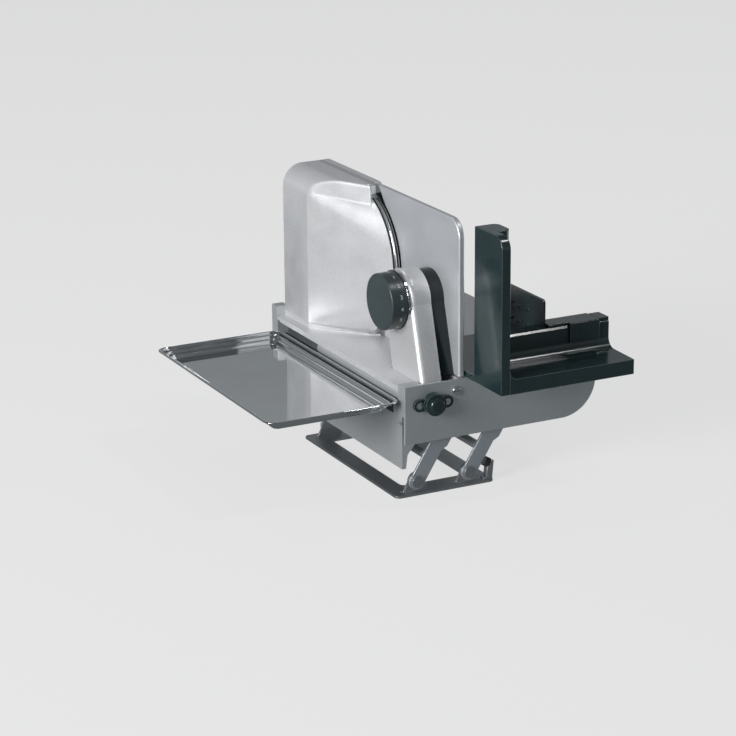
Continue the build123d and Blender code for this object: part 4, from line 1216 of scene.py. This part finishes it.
@dataclass
class Studio:
    """Pale floor, soft lamps, plain surroundings and the camera at the photograph's place.

    The floor and the surroundings are near white to the camera. In mirrored rays the floor is a painted
    reflection instead: a dim glow that brightens toward bright_way, over the bright_span of the distance that
    way, and lays painted highlights on metal and glossy edges.
    """

    lamps: tuple[Lamp, ...] = (
        Lamp("key_lamp", (-3.75, -1.2, 1.45), size=1.9, energy=200.0),
        Lamp("front_lamp", (1.8, -1.1, 3.5), size=0.6, energy=22.0),
        Lamp("back_lamp", (0.3, 2.3, 3.6), size=0.6, energy=8.0))
    centre: Triple = (-1.2800, -2.4434, 0.9875)
    right: Triple = (0.890, -0.4559, -0.0081)
    up: Triple = (0.145, 0.2663, 0.9529)
    lens: float = 124.15
    sensor: float = 36.0
    clip: Pair = (0.05, 30.0)
    white: Tone = (0.93, 0.93, 0.93, 1.0)
    sky: float = 0.32
    sky_tone: Tone = (0.90, 0.96, 1.0, 1.0)
    sky_span: Pair = (0.30, 0.60)
    sky_top: float = 0.4
    floor_size: float = 9.0
    floor_tone: Tone = (0.50, 0.50, 0.50, 1.0)
    floor_roughness: float = 0.85
    floor_glow: float = 0.72
    floor_mirrored: Tone = (0.13, 0.145, 0.15, 1.0)
    bright_way: Triple = (0.9, 0.45, 0.0)
    bright_span: Pair = (0.35, 0.9)
    bright_glow: float = 12.0

    def floor(self) -> None:
        """Lay the pale floor: near white to the camera, and in mirrored rays a glowing painted reflection
        that brightens toward one side.
        """
        built = bmesh.new()
        bmesh.ops.create_grid(built, x_segments=1, y_segments=1, size=self.floor_size)
        mesh = bpy.data.meshes.new("floor")
        built.to_mesh(mesh)
        built.free()
        s = Surface("pale_floor")
        s.set(Base_Color=self.floor_tone, Roughness=self.floor_roughness)
        glow = s.node("ShaderNodeEmission", Color=self.white, Strength=1.0)
        path = s.node("ShaderNodeLightPath")
        share = s.node("ShaderNodeMath", operation="MULTIPLY")
        share.inputs[1].default_value = self.floor_glow
        s.wire(path.outputs["Is Camera Ray"], share.inputs[0])
        seen = s.blended(share.outputs["Value"], s.shader.outputs["BSDF"], glow.outputs["Emission"])
        # Painted reflection: in mirrored rays the floor glows, brighter toward one side, so glossy edges
        # catch painted highlights.
        along = s.node("ShaderNodeVectorMath", operation="DOT_PRODUCT")
        along.inputs[1].default_value = self.bright_way
        s.wire(s.coords, along.inputs[0])
        painted_reflection_glow = s.node("ShaderNodeEmission", Color=self.floor_mirrored)
        strength = s.spread(along.outputs["Value"], 1.0, self.bright_glow, self.bright_span)
        s.wire(strength, painted_reflection_glow.inputs["Strength"])
        final = s.blended(path.outputs["Is Glossy Ray"], seen, painted_reflection_glow.outputs["Emission"])
        s.wire(final, s.tree.nodes["Material Output"].inputs["Surface"])
        mesh.materials.append(s.material)
        put("floor", mesh)

    def world(self) -> None:
        """Plain dim light from all round, dimmer from above and white to the camera."""
        world = bpy.data.worlds.new("surroundings")
        bpy.context.scene.world = world
        world.use_nodes = True
        graph = NodeGraph(world.node_tree)
        sky = world.node_tree.nodes["Background"]
        sky.inputs["Color"].default_value = self.sky_tone
        height = graph.node("ShaderNodeSeparateXYZ")
        graph.wire(graph.node("ShaderNodeTexCoord").outputs["Generated"], height.inputs["Vector"])
        fade = graph.node("ShaderNodeMapRange", From_Min=self.sky_span[0], From_Max=self.sky_span[1],
                          To_Min=self.sky, To_Max=self.sky * self.sky_top)
        graph.wire(height.outputs["Z"], fade.inputs["Value"])
        graph.wire(fade.outputs["Result"], sky.inputs["Strength"])
        white = graph.node("ShaderNodeBackground", Color=self.white, Strength=1.0)
        path = graph.node("ShaderNodeLightPath")
        final = graph.blended(path.outputs["Is Camera Ray"], sky.outputs["Background"],
                              white.outputs["Background"])
        graph.wire(final, world.node_tree.nodes["World Output"].inputs["Surface"])

    def camera(self) -> None:
        """Set the camera up at the photograph's viewing angle."""
        data = bpy.data.cameras.new("camera")
        data.sensor_fit = "HORIZONTAL"
        data.sensor_width = self.sensor
        data.lens = self.lens
        data.clip_start, data.clip_end = self.clip
        camera = put("camera", data)
        x = Vector(self.right).normalized()
        z = x.cross(Vector(self.up)).normalized()
        y = z.cross(x)
        camera.matrix_world = Matrix.Translation(self.centre) @ Matrix((x, y, z)).transposed().to_4x4()
        bpy.context.scene.camera = camera

    def build(self) -> None:
        """Set everything up."""
        self.camera()
        self.floor()
        self.world()
        for lamp in self.lamps:
            lamp.build()
        bpy.context.scene.view_settings.view_transform = "Standard"


def main() -> None:
    """Load the frame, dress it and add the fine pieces."""
    logging.basicConfig(level=logging.INFO, format="%(message)s")
    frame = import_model()
    Studio().build()
    palette = Palette()
    CastAndPressed(palette).build(frame["nodes"])
    CollectingTray(palette).build()
    HousingSkin(palette).build()
    for part in (DialNumerals, LipTrim, TrayHook, IndexNib, ShelfScrews):
        part(palette).build()


if __name__ == "__main__":
    main()
